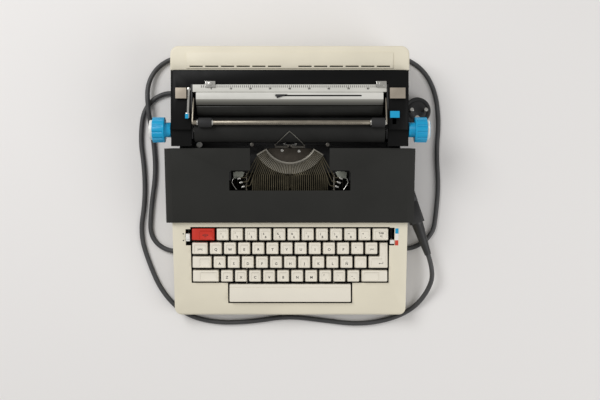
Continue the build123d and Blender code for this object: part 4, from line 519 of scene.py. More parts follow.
def add_rings(build, rings):
    """Joins a stack of outlines in plan, each with its height."""
    add_skin(build, [[(point[0], point[1], z) for point in points] for points, z in rings])


print("points on a corner", CORNER_STEPS + 1)

# %% [markdown]
# The keys share one pitch, and each row starts a part of a pitch to one side. So a cap's place
# is its row and a number of pitches, and the sloped deck under it gives the height.

# %% Keyboard places, in millimetres
KEY_PITCH = 19.05
ROW_PITCH = 18.9
KEY_GAP = 2.4
CAP_HALF_DEPTH = (ROW_PITCH - KEY_GAP) / 2
FIRST_ROW_Y = -68.9
KEYBOARD_LEFT = -7 * KEY_PITCH
DECK_FRONT_Y = -180.0
DECK_FRONT_Z = 25.0
DECK_ANGLE = math.radians(12.4)
CAP_STAND = 3.4
CAP_HEIGHT = 7.0
CAP_WALL = 1.6
CAP_TAPER = 1.0
DISH_DEPTH = 1.5
RIM_FRONT = 0.9
RIM_RIGHT = 1.2
RIM_REAR = 2.5
RIM_LEFT = 2.3


def deck_z(y):
    return DECK_FRONT_Z + (y - DECK_FRONT_Y) * math.tan(DECK_ANGLE)


def row_y(row):
    return FIRST_ROW_Y - (row - 1) * ROW_PITCH


def cap_top(row):
    return deck_z(row_y(row)) + CAP_STAND


def unit_x(units):
    return KEYBOARD_LEFT + units * KEY_PITCH


print("the keyboard is", unit_x(14) - unit_x(0), "mm wide")

# %% [markdown]
# The rings of a cap start at the roof of its hollow, go down and out round the skirt, up to the
# soft top edge and down into the dish. The flat steel levers under the caps are copied from the
# solids, and each node's caps and levers become one piece that goes down with its key.

# %% One cap and one node of caps
LEVER_WIDEST = 3 * MM


def add_cap(build, corners, top, rim):
    """A cap with its skirt, its soft top edge, its dish and the hollow under it."""

    def skirt(amount):
        return inset(corners, [amount] * len(corners))

    def dish(extra):
        return inset(corners, [CAP_TAPER + side + extra for side in rim])

    base = top - CAP_HEIGHT
    rings = [
        (skirt(CAP_WALL + 0.6), 0.8, top - DISH_DEPTH - CAP_WALL),
        (skirt(CAP_WALL), 0.8, base),
        (skirt(0.0), 1.5, base),
        (skirt(CAP_TAPER * 0.9), 1.5, top - 0.7),
        (skirt(CAP_TAPER + 0.15), 1.5, top - 0.2),
        (skirt(CAP_TAPER + 0.5), 1.4, top),
        (dish(-0.3), 1.2, top - 0.02),
        (dish(0.05), 1.2, top - 0.15 * DISH_DEPTH),
        (dish(0.55), 1.3, top - 0.8 * DISH_DEPTH),
        (dish(1.3), 1.3, top - DISH_DEPTH),
    ]
    add_rings(build, [(rounded(outline, radius), z) for outline, radius, z in rings])


def lever_islands(build, node):
    """Copies the key levers out of a solid: its islands that are thin along X."""
    source = bmesh.new()
    source.from_mesh(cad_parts[node].data)
    bmesh.ops.remove_doubles(source, verts=source.verts, dist=WELD_DISTANCE)
    left = dict.fromkeys(source.faces)
    copied = 0
    while left:
        island = [left.popitem()[0]]
        waiting = list(island)
        while waiting:
            for edge in waiting.pop().edges:
                for face in edge.link_faces:
                    if face in left:
                        del left[face]
                        island.append(face)
                        waiting.append(face)
        corners = dict.fromkeys(vert for face in island for vert in face.verts)
        reach = [vert.co.x for vert in corners]
        if max(reach) - min(reach) < LEVER_WIDEST:
            twins = {vert: build.verts.new(vert.co) for vert in corners}
            for face in island:
                twin = build.faces.new([twins[vert] for vert in face.verts])
                twin.material_index = 1
            copied += 1
    source.free()
    return copied


def settle(name, mesh, body, sharp=None):
    """Makes a mesh a smooth piece on a body, with edges over an angle kept sharp."""
    mesh.polygons.foreach_set("use_smooth", [True] * len(mesh.polygons))
    if sharp:
        mesh.set_sharp_from_angle(angle=math.radians(sharp))
    piece = add_object(name, mesh)
    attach(piece, body)
    return piece


def mesh_piece(name, build, materials, body, sharp=35.0, soft=None):
    """Turns a bmesh into a piece, with soft edges of (width, segments) if given."""
    mesh = bpy.data.meshes.new(name)
    build.to_mesh(mesh)
    build.free()
    for material in materials:
        mesh.materials.append(material)
    piece = settle(name, mesh, body, sharp)
    if soft:
        soften(piece, *soft)
    return piece


def key_piece(node, caps, material=KEY_CREAM):
    """All caps of one node with their levers, in place of the construction solid."""
    build = bmesh.new()
    for corners, top, rim in caps:
        add_cap(build, corners, top, rim)
    levers = lever_islands(build, node)
    piece = mesh_piece(node + "_caps", build, [material, LEVER_STEEL], node + "_body")
    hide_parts(node)
    print(node, len(caps), "caps and", levers, "levers")


print("a cap stands", CAP_STAND, "mm over the deck")

# %% [markdown]
# The letter keys are equal caps: eleven in each of the first three rows and ten in the fourth.
# The middle key of the second row is a node of its own. The wide keys have a flat part and a
# dish only where the finger lands, so their rims are broad on one side.

# %% All the keys
LETTER_RIM = (RIM_FRONT, RIM_RIGHT, RIM_REAR, RIM_LEFT)
WIDE_LEFT_RIM = (RIM_FRONT, RIM_RIGHT, RIM_REAR, 9.2)
WIDE_RIGHT_RIM = (RIM_FRONT, 10.5, RIM_REAR, RIM_LEFT)
RETURN_RIM = (*LETTER_RIM, RIM_REAR, RIM_LEFT)


def plain_cap(row, start, width=1.0, rim=LETTER_RIM):
    """Outline, height and rim of a cap that starts at a number of pitches."""
    left = unit_x(start) + KEY_GAP / 2
    right = unit_x(start + width) - KEY_GAP / 2
    front = row_y(row) - CAP_HALF_DEPTH
    rear = row_y(row) + CAP_HALF_DEPTH
    return ([(left, front), (right, front), (right, rear), (left, rear)], cap_top(row), rim)


def return_cap():
    """A wide cap in the third row and a narrow one in the second, joined in an L."""
    (left, front), (right, _), (_, step), _ = plain_cap(3, 12.5, 1.5)[0]
    (middle, _), _, (_, rear), _ = plain_cap(2, 13.25, 0.75)[0]
    outline = [(left, front), (right, front), (right, rear), (middle, rear), (middle, step), (left, step)]
    return (outline, cap_top(3), RETURN_RIM)


key_piece("letter_keys_row_1", [plain_cap(1, 1.75 + n) for n in range(11)])
key_piece("letter_keys_row_2", [plain_cap(2, 1.25 + n) for n in range(11) if n != 5])
key_piece("letter_keys_row_3", [plain_cap(3, 1.5 + n) for n in range(11)])
key_piece("letter_keys_row_4", [plain_cap(4, 2.0 + n) for n in range(10)])
key_piece("centre_key", [plain_cap(2, 6.25)])
key_piece("red_key", [plain_cap(1, 0.0, 1.75, WIDE_LEFT_RIM)], KEY_RED)
key_piece("tab_key", [plain_cap(1, 12.75, 1.25)])
key_piece("margin_release_key", [plain_cap(2, 0.0, 1.25)])
key_piece("backspace_key", [plain_cap(2, 12.25)])
key_piece("shift_lock_key", [plain_cap(3, 0.0, 1.5, WIDE_LEFT_RIM)])
key_piece("return_key", [return_cap()])
shift_caps = [plain_cap(4, 0.0, 2.0, WIDE_LEFT_RIM), plain_cap(4, 12.0, 2.0, WIDE_RIGHT_RIM)]
key_piece("shift_keys", shift_caps)
dress("space_bar", KEY_CREAM, 0.6, 3)

# %% [markdown]
# The legends are printed on the dish. Each one is a text curve with a hair of thickness, made a
# mesh at the dish floor's height, and those of one body become one piece, so that they go down
# with their keys. A table gives each run of legends its row, the middle of its first cap in
# pitches, its text, its size and how far it stands off the cap's middle.

# %% Legends
LARGE = 4.9
SMALL = 3.8
INK_THICKNESS = 0.03
INK_SPREAD = 0.1
INK_LIFT = 0.02
LEGENDS = {
    "letter_keys_row_1": [
        (1, 2.25, "1234567890", LARGE, 0.6, -3.9),
        (1, 2.25, "!\"/£%&*()=+", SMALL, -2.0, 0.6),
        (1, 12.25, "-", LARGE, 0.8, -3.9),
    ],
    "letter_keys_row_2": [
        (2, 1.75, "QWERT", LARGE, 0.3, -1.9),
        (2, 7.75, "UIOP", LARGE, 0.3, -1.9),
        (2, 11.75, "^", SMALL, -2.0, 0.4),
        (2, 11.75, "`", SMALL, 1.0, -3.6),
    ],
    "centre_key": [(2, 6.75, "Y", LARGE, 0.3, -1.9)],
    "letter_keys_row_3": [
        (3, 2.0, "ASDFGHJKLÑ", LARGE, 0.3, -2.3),
        (3, 12.0, "¨", SMALL, -2.0, 0.6),
        (3, 12.0, "´", SMALL, 1.0, -3.6),
    ],
    "letter_keys_row_4": [
        (4, 2.5, "ZXCVBNM", LARGE, 0.3, -2.2),
        (4, 9.5, "?:_", SMALL, -1.8, 0.8),
        (4, 9.5, ",.-", LARGE, 1.0, -3.4),
    ],
    "red_key": [(1, 0.875, ["<||>"], LARGE, 3.2, -1.4)],
    "tab_key": [(1, 13.375, ["TAB"], SMALL, 0.8, 1.4), (1, 13.375, [">|"], SMALL, 0.8, -2.6)],
    "margin_release_key": [(2, 0.625, ["|<>|"], SMALL, 0.4, -1.6)],
    "backspace_key": [(2, 12.75, ["|<<"], SMALL, 0.4, -1.6)],
}


def evaluated_mesh(holder):
    """Keeps what an object turns into as a plain mesh, and removes the object."""
    bpy.context.view_layer.update()
    evaluated = holder.evaluated_get(bpy.context.evaluated_depsgraph_get())
    mesh = bpy.data.meshes.new_from_object(evaluated)
    bpy.data.objects.remove(holder)
    return mesh


def add_text(build, words, size, place):
    """Adds a thin flat text, centred on a place in millimetres."""
    data = bpy.data.curves.new("legend", "FONT")
    data.body = words
    data.size = size * MM
    data.align_x = "CENTER"
    data.align_y = "CENTER"
    data.extrude = INK_THICKNESS * MM / 2
    data.offset = INK_SPREAD * MM
    data.resolution_u = 2
    mesh = evaluated_mesh(add_object("legend", data))
    bpy.data.curves.remove(data)
    mesh.transform(Matrix.Translation(Vector(place) * MM))
    build.from_mesh(mesh)
    bpy.data.meshes.remove(mesh)


for node, runs in LEGENDS.items():
    build = bmesh.new()
    for row, middle, words, size, aside, ahead in runs:
        z = cap_top(row) - DISH_DEPTH + INK_LIFT
        for n, word in enumerate(words):
            add_text(build, word, size, (unit_x(middle + n) + aside, row_y(row) + ahead, z))
    mesh_piece(node + "_legends", build, [LEGEND_INK], node + "_body")
print("legends on", len(LEGENDS), "nodes")

# %% [markdown]
# The return arrow is two straight strokes and a triangle, because it has to bend.

# %% The return arrow
ARROW_PLACE = (13.45, -2.2)
ARROW_STROKES = [((-2.0, 0.0), (2.6, 0.5)), ((2.1, 0.0), (2.6, 2.6))]
ARROW_TIP = [(-3.4, 0.25), (-1.8, -0.7), (-1.8, 1.2)]


def add_box(build, middle, size, turn=0.0, axis="Z"):
    """Adds a block about its middle, turned by an angle, and gives its faces."""
    move = Matrix.Translation([value * MM for value in middle]) @ Matrix.Rotation(turn, 4, axis)
    move = move @ Matrix.Diagonal((*(value * MM for value in size), 1.0))
    made = bmesh.ops.create_cube(build, size=1.0, matrix=move)
    return {face for vert in made["verts"] for face in vert.link_faces}


def add_block(build, low, high):
    """A plain block between two corners in millimetres."""
    add_box(build, [(a + b) / 2 for a, b in zip(low, high)], [b - a for a, b in zip(low, high)])


def add_prism(build, points, low, high):
    """An upright prism on an outline in plan, in millimetres."""
    add_rings(build, [(points, low), (points, high)])


build = bmesh.new()
z = cap_top(3) - DISH_DEPTH + INK_LIFT
top = z + INK_THICKNESS
x = unit_x(ARROW_PLACE[0])
y = row_y(3) + ARROW_PLACE[1]
for low, high in ARROW_STROKES:
    add_block(build, (x + low[0], y + low[1], z), (x + high[0], y + high[1], top))
add_prism(build, [(x + aside, y + ahead) for aside, ahead in ARROW_TIP], z, top)
mesh_piece("return_key_arrow", build, [LEGEND_INK], "return_key_body")
print("return arrow at", round(x, 1), round(y, 1))

# %% [markdown]
# Forty-three typebars hang in the slots of a segment, and the middle one is a solid that moves.
# The segment leans back, so from above its slots crowd together towards the ends, and a sine
# gives that crowding. The bars then spread until they run forward side by side. Each bar is a
# line of points, and the outermost ones bend once more, towards the type rests.

# %% Places in the type basket, in millimetres
BASKET_Y = 64.0
SEGMENT_INNER = 36.0
SEGMENT_OUTER = 52.0
SEGMENT_RIM = 2.2
SEGMENT_REACH = 43.5
SEGMENT_BOTTOM_Z = 42.0
SLOT_FLOOR_Z = 48.6
SEGMENT_TOP_Z = 53.5
SEGMENT_FALL = 1.5
FAN_HALF = math.radians(62)
BAR_COUNT = 43
BAR_Z = 51.0
BAR_HEIGHT = 2.6
BAR_ROOT_DROP = 1.1
BAR_THICKNESS = 0.9
BAR_ROOT_RADIUS = 39.8
BAR_MOUTH_RADIUS = 53.0
BAR_BEND_RADIUS = 3.0
FRONT_SPREAD = 58.5
BAR_END_Y = -22.0
BEND_Y = 11.0
BEND_SHARE = 0.985
BEND_FALL = 0.04
OUTER_BARS = 3
OUTER_TIP = (-68.5, 6.5)
OUTER_STEP = (2.9, -5.6)
OUTER_BEND = 4.5
OUTER_ELBOW = 1.0
OUTER_ELBOW_SHARE = 0.99


def from_middle(number):
    """A bar's place in the fan, from -1 at the left end to 1 at the right end."""
    return 2 * number / (BAR_COUNT - 1) - 1


def round_basket(radius, turn):
    """A plan place on a circle round the basket's middle, turned from its front."""
    return Vector((radius * math.sin(turn), BASKET_Y - radius * math.cos(turn)))


def fan_place(number, radius):
    """A place on the radial line through a bar's slot."""
    reach = SEGMENT_REACH * math.sin(FAN_HALF * from_middle(number)) / math.sin(FAN_HALF)
    return round_basket(radius, math.asin(reach / SEGMENT_OUTER))


def bar_line(number):
    """The line of one typebar, from its slot to its type."""
    root = fan_place(number, BAR_ROOT_RADIUS)
    mouth = fan_place(number, BAR_MOUTH_RADIUS)
    front_x = FRONT_SPREAD * from_middle(number)
    line = [root, mouth, Vector((front_x * BEND_SHARE, BEND_Y - abs(front_x) * BEND_FALL))]
    from_end = min(number, BAR_COUNT - 1 - number)
    if from_end < OUTER_BARS:
        side = 1 if front_x > 0 else -1
        tip_x = -side * (OUTER_TIP[0] + OUTER_STEP[0] * from_end)
        tip_y = OUTER_TIP[1] + OUTER_STEP[1] * from_end
        line[-1].y = tip_y + OUTER_BEND
        elbow_x = front_x * OUTER_ELBOW_SHARE + side * OUTER_ELBOW
        line += [Vector((elbow_x, tip_y + OUTER_ELBOW)), Vector((tip_x, tip_y))]
    else:
        line.append(Vector((front_x, BAR_END_Y)))
    return line


bar_lines = [bar_line(number) for number in range(BAR_COUNT) if number != BAR_COUNT // 2]
print("lines of", len(bar_lines), "typebars")

# %% [markdown]
# A small tree of Geometry Nodes turns all the lines into bars: it rounds their bends and sweeps a
# thin upright rectangle along them. What it grows is kept as a plain mesh.

# %% A tree that sweeps a rectangle along lines
BAR_SIZES = {"Width": BAR_THICKNESS * MM, "Height": BAR_HEIGHT * MM, "Bend Radius": BAR_BEND_RADIUS * MM}


def close_tree(source, output, end, material):
    """Ends a tree in Realize Instances and Set Material."""
    realize = add_node(end.id_data, "GeometryNodeRealizeInstances")
    paint = add_node(end.id_data, "GeometryNodeSetMaterial", {"Material": material})
    wire(source, output, realize, "Geometry")
    wire(realize, "Geometry", paint, "Geometry")
    wire(paint, "Geometry", end, "Geometry")


def sweep_tree():
    """Lines become upright strips with rounded bends."""
    tree, start, end = new_tree("typebar_sweep", BAR_SIZES)
    curve = add_node(tree, "GeometryNodeMeshToCurve")
    fillet = add_node(tree, "GeometryNodeFilletCurve", {"Count": 3}, mode="POLY")
    upright = add_node(tree, "GeometryNodeSetCurveNormal", mode="Z_UP")
    section = add_node(tree, "GeometryNodeCurvePrimitiveQuadrilateral")
    sweep = add_node(tree, "GeometryNodeCurveToMesh", {"Fill Caps": True})
    wire(start, "Geometry", curve, "Mesh")
    wire(curve, "Curve", fillet, "Curve")
    wire(start, "Bend Radius", fillet, "Radius")
    wire(fillet, "Curve", upright, "Curve")
    wire(upright, "Curve", sweep, "Curve")
    wire(start, "Width", section, "Width")
    wire(start, "Height", section, "Height")
    wire(section, "Curve", sweep, "Profile Curve")
    close_tree(sweep, "Mesh", end, TYPEBAR_STEEL)
    return tree


def grown_piece(name, mesh, tree, body, sizes=None, sharp=30.0):
    """Runs a tree on a mesh, with other sizes if given, and keeps a plain piece."""
    holder = add_object(name + "_seed", mesh)
    modifier = holder.modifiers.new("grow", "NODES")
    modifier.node_group = tree
    for item in tree.interface.items_tree:
        if sizes and item.item_type == "SOCKET" and item.name in sizes:
            modifier[item.identifier] = sizes[item.name]
    grown = evaluated_mesh(holder)
    grown.name = name
    print(name, len(grown.polygons), "faces")
    return settle(name, grown, body, sharp)


def bar_mesh():
    """Loose edges along the bars' lines, lower where they are inside the slots."""
    places = []
    edges = []
    for line in bar_lines:
        first = len(places)
        for n, place in enumerate(line):
            low = BAR_Z - BAR_ROOT_DROP if n < 2 else BAR_Z
            places.append((place.x * MM, place.y * MM, low * MM))
        edges += [(first + n, first + n + 1) for n in range(len(line) - 1)]
    mesh = bpy.data.meshes.new("bar_lines")
    mesh.from_pydata(places, edges, [])
    return mesh


bars = grown_piece("typebar_fan", bar_mesh(), sweep_tree(), "machine_base")
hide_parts("typebars")

# %% [markdown]
# The type slugs are the small hard blocks that carry the letters. Those of the outermost bars
# show at the ends of the lower window, each a step behind the next.

# %% Type slugs
SLUG_WIDTH = 5.0
SLUG_NARROW = 2.0
SLUG_DEPTH = 3.0
SLUG_TURN = 0.35
SLUG_FORWARD = 0.5
LEAST_LEAN = 1.0
SLUG_LOW = 49.0
SLUG_HIGH = 54.6

build = bmesh.new()
for line in bar_lines:
    way = line[-1] - line[-2]
    outer = abs(way.x) > LEAST_LEAN
    size = (SLUG_WIDTH if outer else SLUG_NARROW, SLUG_DEPTH, SLUG_HIGH - SLUG_LOW)
    place = (line[-1].x, line[-1].y - SLUG_FORWARD, (SLUG_LOW + SLUG_HIGH) / 2)
    add_box(build, place, size, math.copysign(SLUG_TURN, -way.x) if outer else 0.0)
mesh_piece("type_slugs", build, [NICKEL], "machine_base", soft=(0.7, 3))
print("type slugs", len(bar_lines))

# %% [markdown]
# The segment is a cast ring sector. A sweep of one profile makes its body up to the floor of the
# slots, and another one the rim along its inner edge. Between each two slots stands one fin,
# wider at its outer end and built from the slots' own walls.

# %% The type segment
END_OVERHANG = math.radians(3.5)
RING_STEPS = 60
SLOT_HALF = 0.72
RIM_RISE = 0.5
FIN_ROOT_Z = SLOT_FLOOR_Z - 0.4
RIM_RADIUS = SEGMENT_INNER + SEGMENT_RIM
FIN_RADIUS = SEGMENT_OUTER - 0.1
SEGMENT_HALF = math.asin(SEGMENT_REACH / SEGMENT_OUTER) + END_OVERHANG
SEGMENT_BODY = [
    (SEGMENT_INNER, SEGMENT_BOTTOM_Z), (SEGMENT_OUTER, SEGMENT_BOTTOM_Z),
    (SEGMENT_OUTER, SLOT_FLOOR_Z), (SEGMENT_INNER, SLOT_FLOOR_Z),
]
SEGMENT_LIP = [
    (SEGMENT_INNER, FIN_ROOT_Z), (RIM_RADIUS + 0.3, FIN_ROOT_Z), (RIM_RADIUS + 0.3, SEGMENT_TOP_Z),
    (RIM_RADIUS - 0.9, SEGMENT_TOP_Z + RIM_RISE), (SEGMENT_INNER + 0.5, SEGMENT_TOP_Z + RIM_RISE),
    (SEGMENT_INNER, SEGMENT_TOP_Z),
]


def add_ring_sector(build, profile):
    """Sweeps a closed profile of (radius, z) round the basket centre."""
    rows = []
    for step in range(RING_STEPS + 1):
        turn = SEGMENT_HALF * (2 * step / RING_STEPS - 1)
        rows.append([(*round_basket(radius, turn), z) for radius, z in profile])
    add_skin(build, rows[::-1])


def slot_wall(number, side):
    """The inner and outer plan place of a slot's left or right wall."""
    ends = []
    for radius in (RIM_RADIUS, FIN_RADIUS):
        middle = fan_place(number, radius)
        away = (middle - Vector((0.0, BASKET_Y))).normalized()
        ends.append(middle + Vector((-away.y, away.x)) * SLOT_HALF * side)
    return ends


def sector_end(side):
    """The inner and outer plan place of the sector's left or right end."""
    return [round_basket(radius, SEGMENT_HALF * side) for radius in (RIM_RADIUS, FIN_RADIUS)]


def add_fin(build, left, right):
    """One fin between two slots, falling outwards with the ring."""
    plan = [left[0], right[0], right[1], left[1]]
    fall_z = SEGMENT_TOP_Z - SEGMENT_FALL
    tops = [SEGMENT_TOP_Z, SEGMENT_TOP_Z, fall_z, fall_z]
    low = [(place.x, place.y, FIN_ROOT_Z) for place in plan]
    add_skin(build, [low, [(place.x, place.y, z) for place, z in zip(plan, tops)]])


build = bmesh.new()
add_ring_sector(build, SEGMENT_BODY)
add_ring_sector(build, SEGMENT_LIP)
left = sector_end(-1)
for number in range(BAR_COUNT):
    add_fin(build, left, slot_wall(number, -1))
    left = slot_wall(number, 1)
add_fin(build, left, sector_end(1))
bmesh.ops.recalc_face_normals(build, faces=build.faces)
segment = mesh_piece(
    "type_segment_fins", build, [SEGMENT_METAL], "machine_base", 25.0, (0.18, 1),
)
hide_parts("type_segment")
print("segment with", BAR_COUNT + 1, "fins over", round(2 * SEGMENT_REACH), "mm")

# %% [markdown]
# Inside the curve of the segment lies a flat plate with two screws: a prism and two low cones.

# %% The plate inside the segment
SHIELD_SIDE = [(12.0, 28.6), (24.0, 33.0), (31.0, 40.0), (29.0, 47.0)]
SHIELD = SHIELD_SIDE[::-1] + [(-x, y) for x, y in SHIELD_SIDE]
SHIELD_Z = (42.0, 43.0)
SHIELD_SCREWS = [(-10.8, 44.0), (12.0, 43.0)]
SCREW_RADII = (2.3, 2.0)
SCREW_HEIGHT = 1.6
SCREW_MIDDLE_Z = SHIELD_Z[1] + 0.7


def add_rod(build, middle, length, radii, segments, turn=0.0):
    """A rod about its middle, turned about Y, with a radius at each end."""
    move = Matrix.Translation(Vector(middle) * MM) @ Matrix.Rotation(turn, 4, "Y")
    bmesh.ops.create_cone(
        build, cap_ends=True, segments=segments, radius1=radii[0] * MM, radius2=radii[1] * MM,
        depth=length * MM, matrix=move,
    )


build = bmesh.new()
add_prism(build, SHIELD, *SHIELD_Z)
mesh_piece("segment_shield", build, [SHEET_STEEL], "machine_base", soft=(0.3, 2))
build = bmesh.new()
for x, y in SHIELD_SCREWS:
    add_rod(build, (x, y, SCREW_MIDDLE_Z), SCREW_HEIGHT, SCREW_RADII, 24)
mesh_piece("shield_screws", build, [NICKEL], "machine_base", soft=(0.2, 2))
print("plate", SHIELD[0][0] * 2, "mm wide with", len(SHIELD_SCREWS), "screws")

# %% [markdown]
# At each end of the lower window a bent plate carries the resting type, edged by a wire that
# shines through the opening. The wire is a curve with a round section, made a plain mesh.

# %% The type rests
REST = [(-76.5, 14.5), (-61.0, 14.5), (-64.0, 7.5), (-75.5, 5.5)]
REST_Z = (50.0, 51.0)
REST_LEG_X = (-74.0, -63.0)
REST_LEG_Y = (14.0, 15.5)
REST_WIRE = [(-76.0, 6.5), (-78.2, 1.0), (-75.5, -4.0), (-72.0, -9.0)]
WIRE_RADIUS = 0.7

build = bmesh.new()
wires = []
for side in (1, -1):
    add_prism(build, [(x * side, y) for x, y in REST][::-side], *REST_Z)
    leg_x = sorted(x * side for x in REST_LEG_X)
    low = (leg_x[0], REST_LEG_Y[0], SEGMENT_BOTTOM_Z)
    add_block(build, low, (leg_x[1], REST_LEG_Y[1], REST_Z[1]))
    wires.append([(x * side, y, sum(REST_Z) / 2) for x, y in REST_WIRE])
mesh_piece("type_rests", build, [REST_STEEL], "machine_base", soft=(0.3, 2))
wire_curve = tube_curve("type_rest_wires", "POLY", wires, WIRE_RADIUS * MM, 3)
wire_mesh = evaluated_mesh(add_object("type_rest_wires_line", wire_curve))
wire_mesh.materials.clear()
wire_mesh.materials.append(NICKEL)
settle("type_rest_wires", wire_mesh, "machine_base")
print("type rests at", REST[0][0], "and", -REST[0][0], "mm")

# %% [markdown]
# A curved plate guides the paper behind the platen. It is one bent sheet, so a line of places
# in side view is enough.

# %% The paper plate behind the platen
PLATE_HALF = 121.0
PLATE_LINE = [(86.6, 77.0), (89.0, 81.5), (92.5, 85.0), (97.6, 87.6)]
PLATE_THICKNESS = 0.8

build = bmesh.new()
plate_ring = PLATE_LINE + [(y, z - PLATE_THICKNESS) for y, z in PLATE_LINE[::-1]]
add_skin(build, [[(x, y, z) for y, z in plate_ring] for x in (-PLATE_HALF, PLATE_HALF)])
bmesh.ops.recalc_face_normals(build, faces=build.faces)
mesh_piece("paper_plate", build, [TABLE_BLACK], "carriage", 60.0)
print("paper plate", round(2 * PLATE_HALF), "mm wide")

# %% [markdown]
# A scale is one row of equal ticks, so a tree of Geometry Nodes repeats a small box along a
# line, and its named inputs give the count, the pitch and the size of a tick.

# %% A tree that repeats a tick along a line
TICK_PITCH = 2.54
TICK_SIZES = {
    "Pitch": TICK_PITCH * MM, "Count": 90.0,
    "Tick Width": 0.7 * MM, "Tick Length": 1.8 * MM, "Tick Height": 0.06 * MM,
}


def tick_tree():
    """One box at every step of a line along X."""
    tree, start, end = new_tree("scale_ticks", TICK_SIZES)
    line = add_node(tree, "GeometryNodeMeshLine")
    step = add_node(tree, "ShaderNodeCombineXYZ")
    box = add_node(tree, "GeometryNodeMeshCube")
    size = add_node(tree, "ShaderNodeCombineXYZ")
    repeat = add_node(tree, "GeometryNodeInstanceOnPoints")
    seeds = add_node(tree, "GeometryNodeInstanceOnPoints")
    wire(start, "Count", line, "Count")
    wire(start, "Pitch", step, "X")
    wire(step, "Vector", line, "Offset")
    wire(start, "Tick Width", size, "X")
    wire(start, "Tick Length", size, "Y")
    wire(start, "Tick Height", size, "Z")
    wire(size, "Vector", box, "Size")
    wire(line, "Mesh", repeat, "Points")
    wire(box, "Mesh", repeat, "Instance")
    wire(start, "Geometry", seeds, "Points")
    wire(repeat, "Instances", seeds, "Instance")
    close_tree(seeds, "Instances", end, SCALE_INK)
    return tree


TICK_TREE = tick_tree()


def tick_row(name, place, count, length, body):
    """A row of ticks of a length that starts at a place in millimetres."""
    seed = bpy.data.meshes.new(name)
    seed.from_pydata([tuple(Vector(place) * MM)], [], [])
    sizes = {"Count": float(count), "Tick Length": length * MM}
    grown_piece(name, seed, TICK_TREE, body, sizes)


print("a tick every", TICK_PITCH, "mm")

# %% [markdown]
# The margin scale has its ticks and a figure at every tenth one, and the bail has finer ticks.
# A light edge closes the gap between the margin scale and the strip in front of it.

# %% Scales and their figures
RAIL_TOP_Z = 93.4
RAIL_TICK_Y = 124.3
RAIL_FIGURE_Y = 121.4
RAIL_TICKS = 91
RAIL_TICK_LENGTH = 3.0
FIGURE_SIZE = 3.2
BAIL_TICKS = 74
BAIL_TICK_LENGTH = 1.2
BAIL_TICK_PLACE = (-93.0, 75.7, 101.82)
JOINT_LOW = (-121.0, 116.3, 90.6)
JOINT_HIGH = (121.0, 118.3, 91.9)

rail_place = (-TICK_PITCH * (RAIL_TICKS - 1) / 2, RAIL_TICK_Y, RAIL_TOP_Z + INK_LIFT)
tick_row("margin_scale_ticks", rail_place, RAIL_TICKS, RAIL_TICK_LENGTH, "carriage")
tick_row("bail_ticks", BAIL_TICK_PLACE, BAIL_TICKS, BAIL_TICK_LENGTH, "bail")

build = bmesh.new()
for tens in range(9):
    place = ((tens - 4) * 10 * TICK_PITCH, RAIL_FIGURE_Y, RAIL_TOP_Z + INK_LIFT)
    add_text(build, str(tens * 10), FIGURE_SIZE, place)
mesh_piece("margin_scale_figures", build, [SCALE_INK], "carriage")

build = bmesh.new()
add_block(build, JOINT_LOW, JOINT_HIGH)
mesh_piece("scale_joint", build, [SCALE_PAINT], "carriage")

# %% [markdown]
# The bail has four plated collars, and the line-space lever ends in a blue tip.

# %% Small coloured and plated trim on the carriage
BAIL_AXIS = (77.0, 99.08)
COLLARS = (-118.8, -99.6, 105.0, 123.8)
COLLAR_WIDTH = 2.0
COLLAR_RADII = (3.9, 3.9)
LEVER_TIP_LOW = (-135.0, 82.4, 96.32)
LEVER_TIP_HIGH = (-130.8, 88.4, 97.0)

build = bmesh.new()
for x in COLLARS:
    add_rod(build, (x, *BAIL_AXIS), COLLAR_WIDTH, COLLAR_RADII, 48, math.pi / 2)
mesh_piece("bail_collars", build, [NICKEL], "bail", soft=(0.3, 2))

build = bmesh.new()
add_block(build, LEVER_TIP_LOW, LEVER_TIP_HIGH)
mesh_piece("line_space_tip", build, [HANDLE_BLUE], "line_spacer", soft=(0.3, 2))
print("collars", len(COLLARS))

# %% [markdown]
# Beside the right slider three stripes mark the colours of the ribbon. Each one is a flat block,
# turned by the slope of the deck.

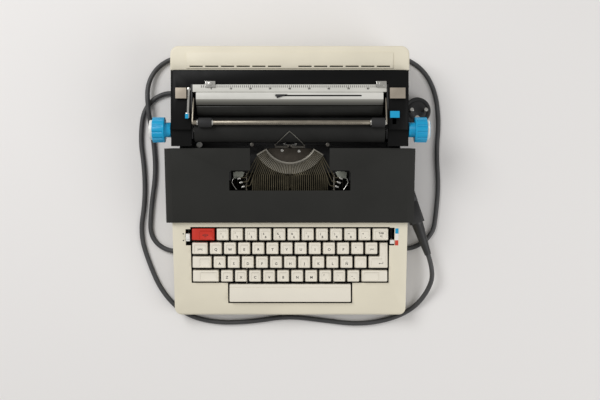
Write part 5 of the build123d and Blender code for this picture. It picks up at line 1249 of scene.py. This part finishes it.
# %% The ribbon label
LABEL_X = 143.4
LABEL_WIDTH = 4.4
LABEL_STRIPES = [(-61.0, -68.0, HANDLE_BLUE), (-68.0, -77.0, WHITE_PLASTIC), (-77.0, -84.0, LABEL_RED)]
LABEL_THICKNESS = 0.12

build = bmesh.new()
for index, (rear, front, _) in enumerate(LABEL_STRIPES):
    y = (rear + front) / 2
    size = (LABEL_WIDTH, (rear - front) / math.cos(DECK_ANGLE), LABEL_THICKNESS)
    place = (LABEL_X, y, deck_z(y) + LABEL_THICKNESS / 2)
    for face in add_box(build, place, size, DECK_ANGLE, "X"):
        face.material_index = index
label_finishes = [material for _, _, material in LABEL_STRIPES]
mesh_piece("ribbon_label", build, label_finishes, "machine_base")
print("stripes", len(LABEL_STRIPES))

# %% [markdown]
# The last trim: the white cap on the right knob, the plated pins and the earth ring of the plug,
# and two small marks beside the left switch.

# %% Knob cap, plug contacts and marks
KNOB_CAP = (181.075, 69.0, 78.0)
KNOB_CAP_WIDTH = 4.05
KNOB_CAP_RADII = (13.1, 13.1)
PINS = [(165.5, 100.0, 25.6), (184.5, 100.0, 25.6)]
PIN_LENGTH = 19.0
PIN_RADII = (2.5, 2.5)
EARTH_RING = (175.0, 90.75, 16.0)
EARTH_HEIGHT = 0.4
EARTH_RADII = (3.2, 3.2)
DECK_MARKS = [(-143.3, -68.2), (-143.3, -77.2)]
DECK_MARK_SIZE = (1.5, 1.5, 0.6)
DECK_MARK_DROP = 0.1

build = bmesh.new()
add_rod(build, KNOB_CAP, KNOB_CAP_WIDTH, KNOB_CAP_RADII, 48, math.pi / 2)
mesh_piece("right_knob_cap", build, [WHITE_PLASTIC], "platen", soft=(0.9, 3))

build = bmesh.new()
for middle in PINS:
    add_rod(build, middle, PIN_LENGTH, PIN_RADII, 32)
add_rod(build, EARTH_RING, EARTH_HEIGHT, EARTH_RADII, 32)
plug_pins = mesh_piece("plug_contacts", build, [NICKEL], "machine_base", soft=(0.4, 2))

build = bmesh.new()
for x, y in DECK_MARKS:
    add_box(build, (x, y, deck_z(y) - DECK_MARK_DROP), DECK_MARK_SIZE)
mesh_piece("deck_marks", build, [LEGEND_INK], "machine_base")
print("plug pins", PIN_LENGTH, "mm long")
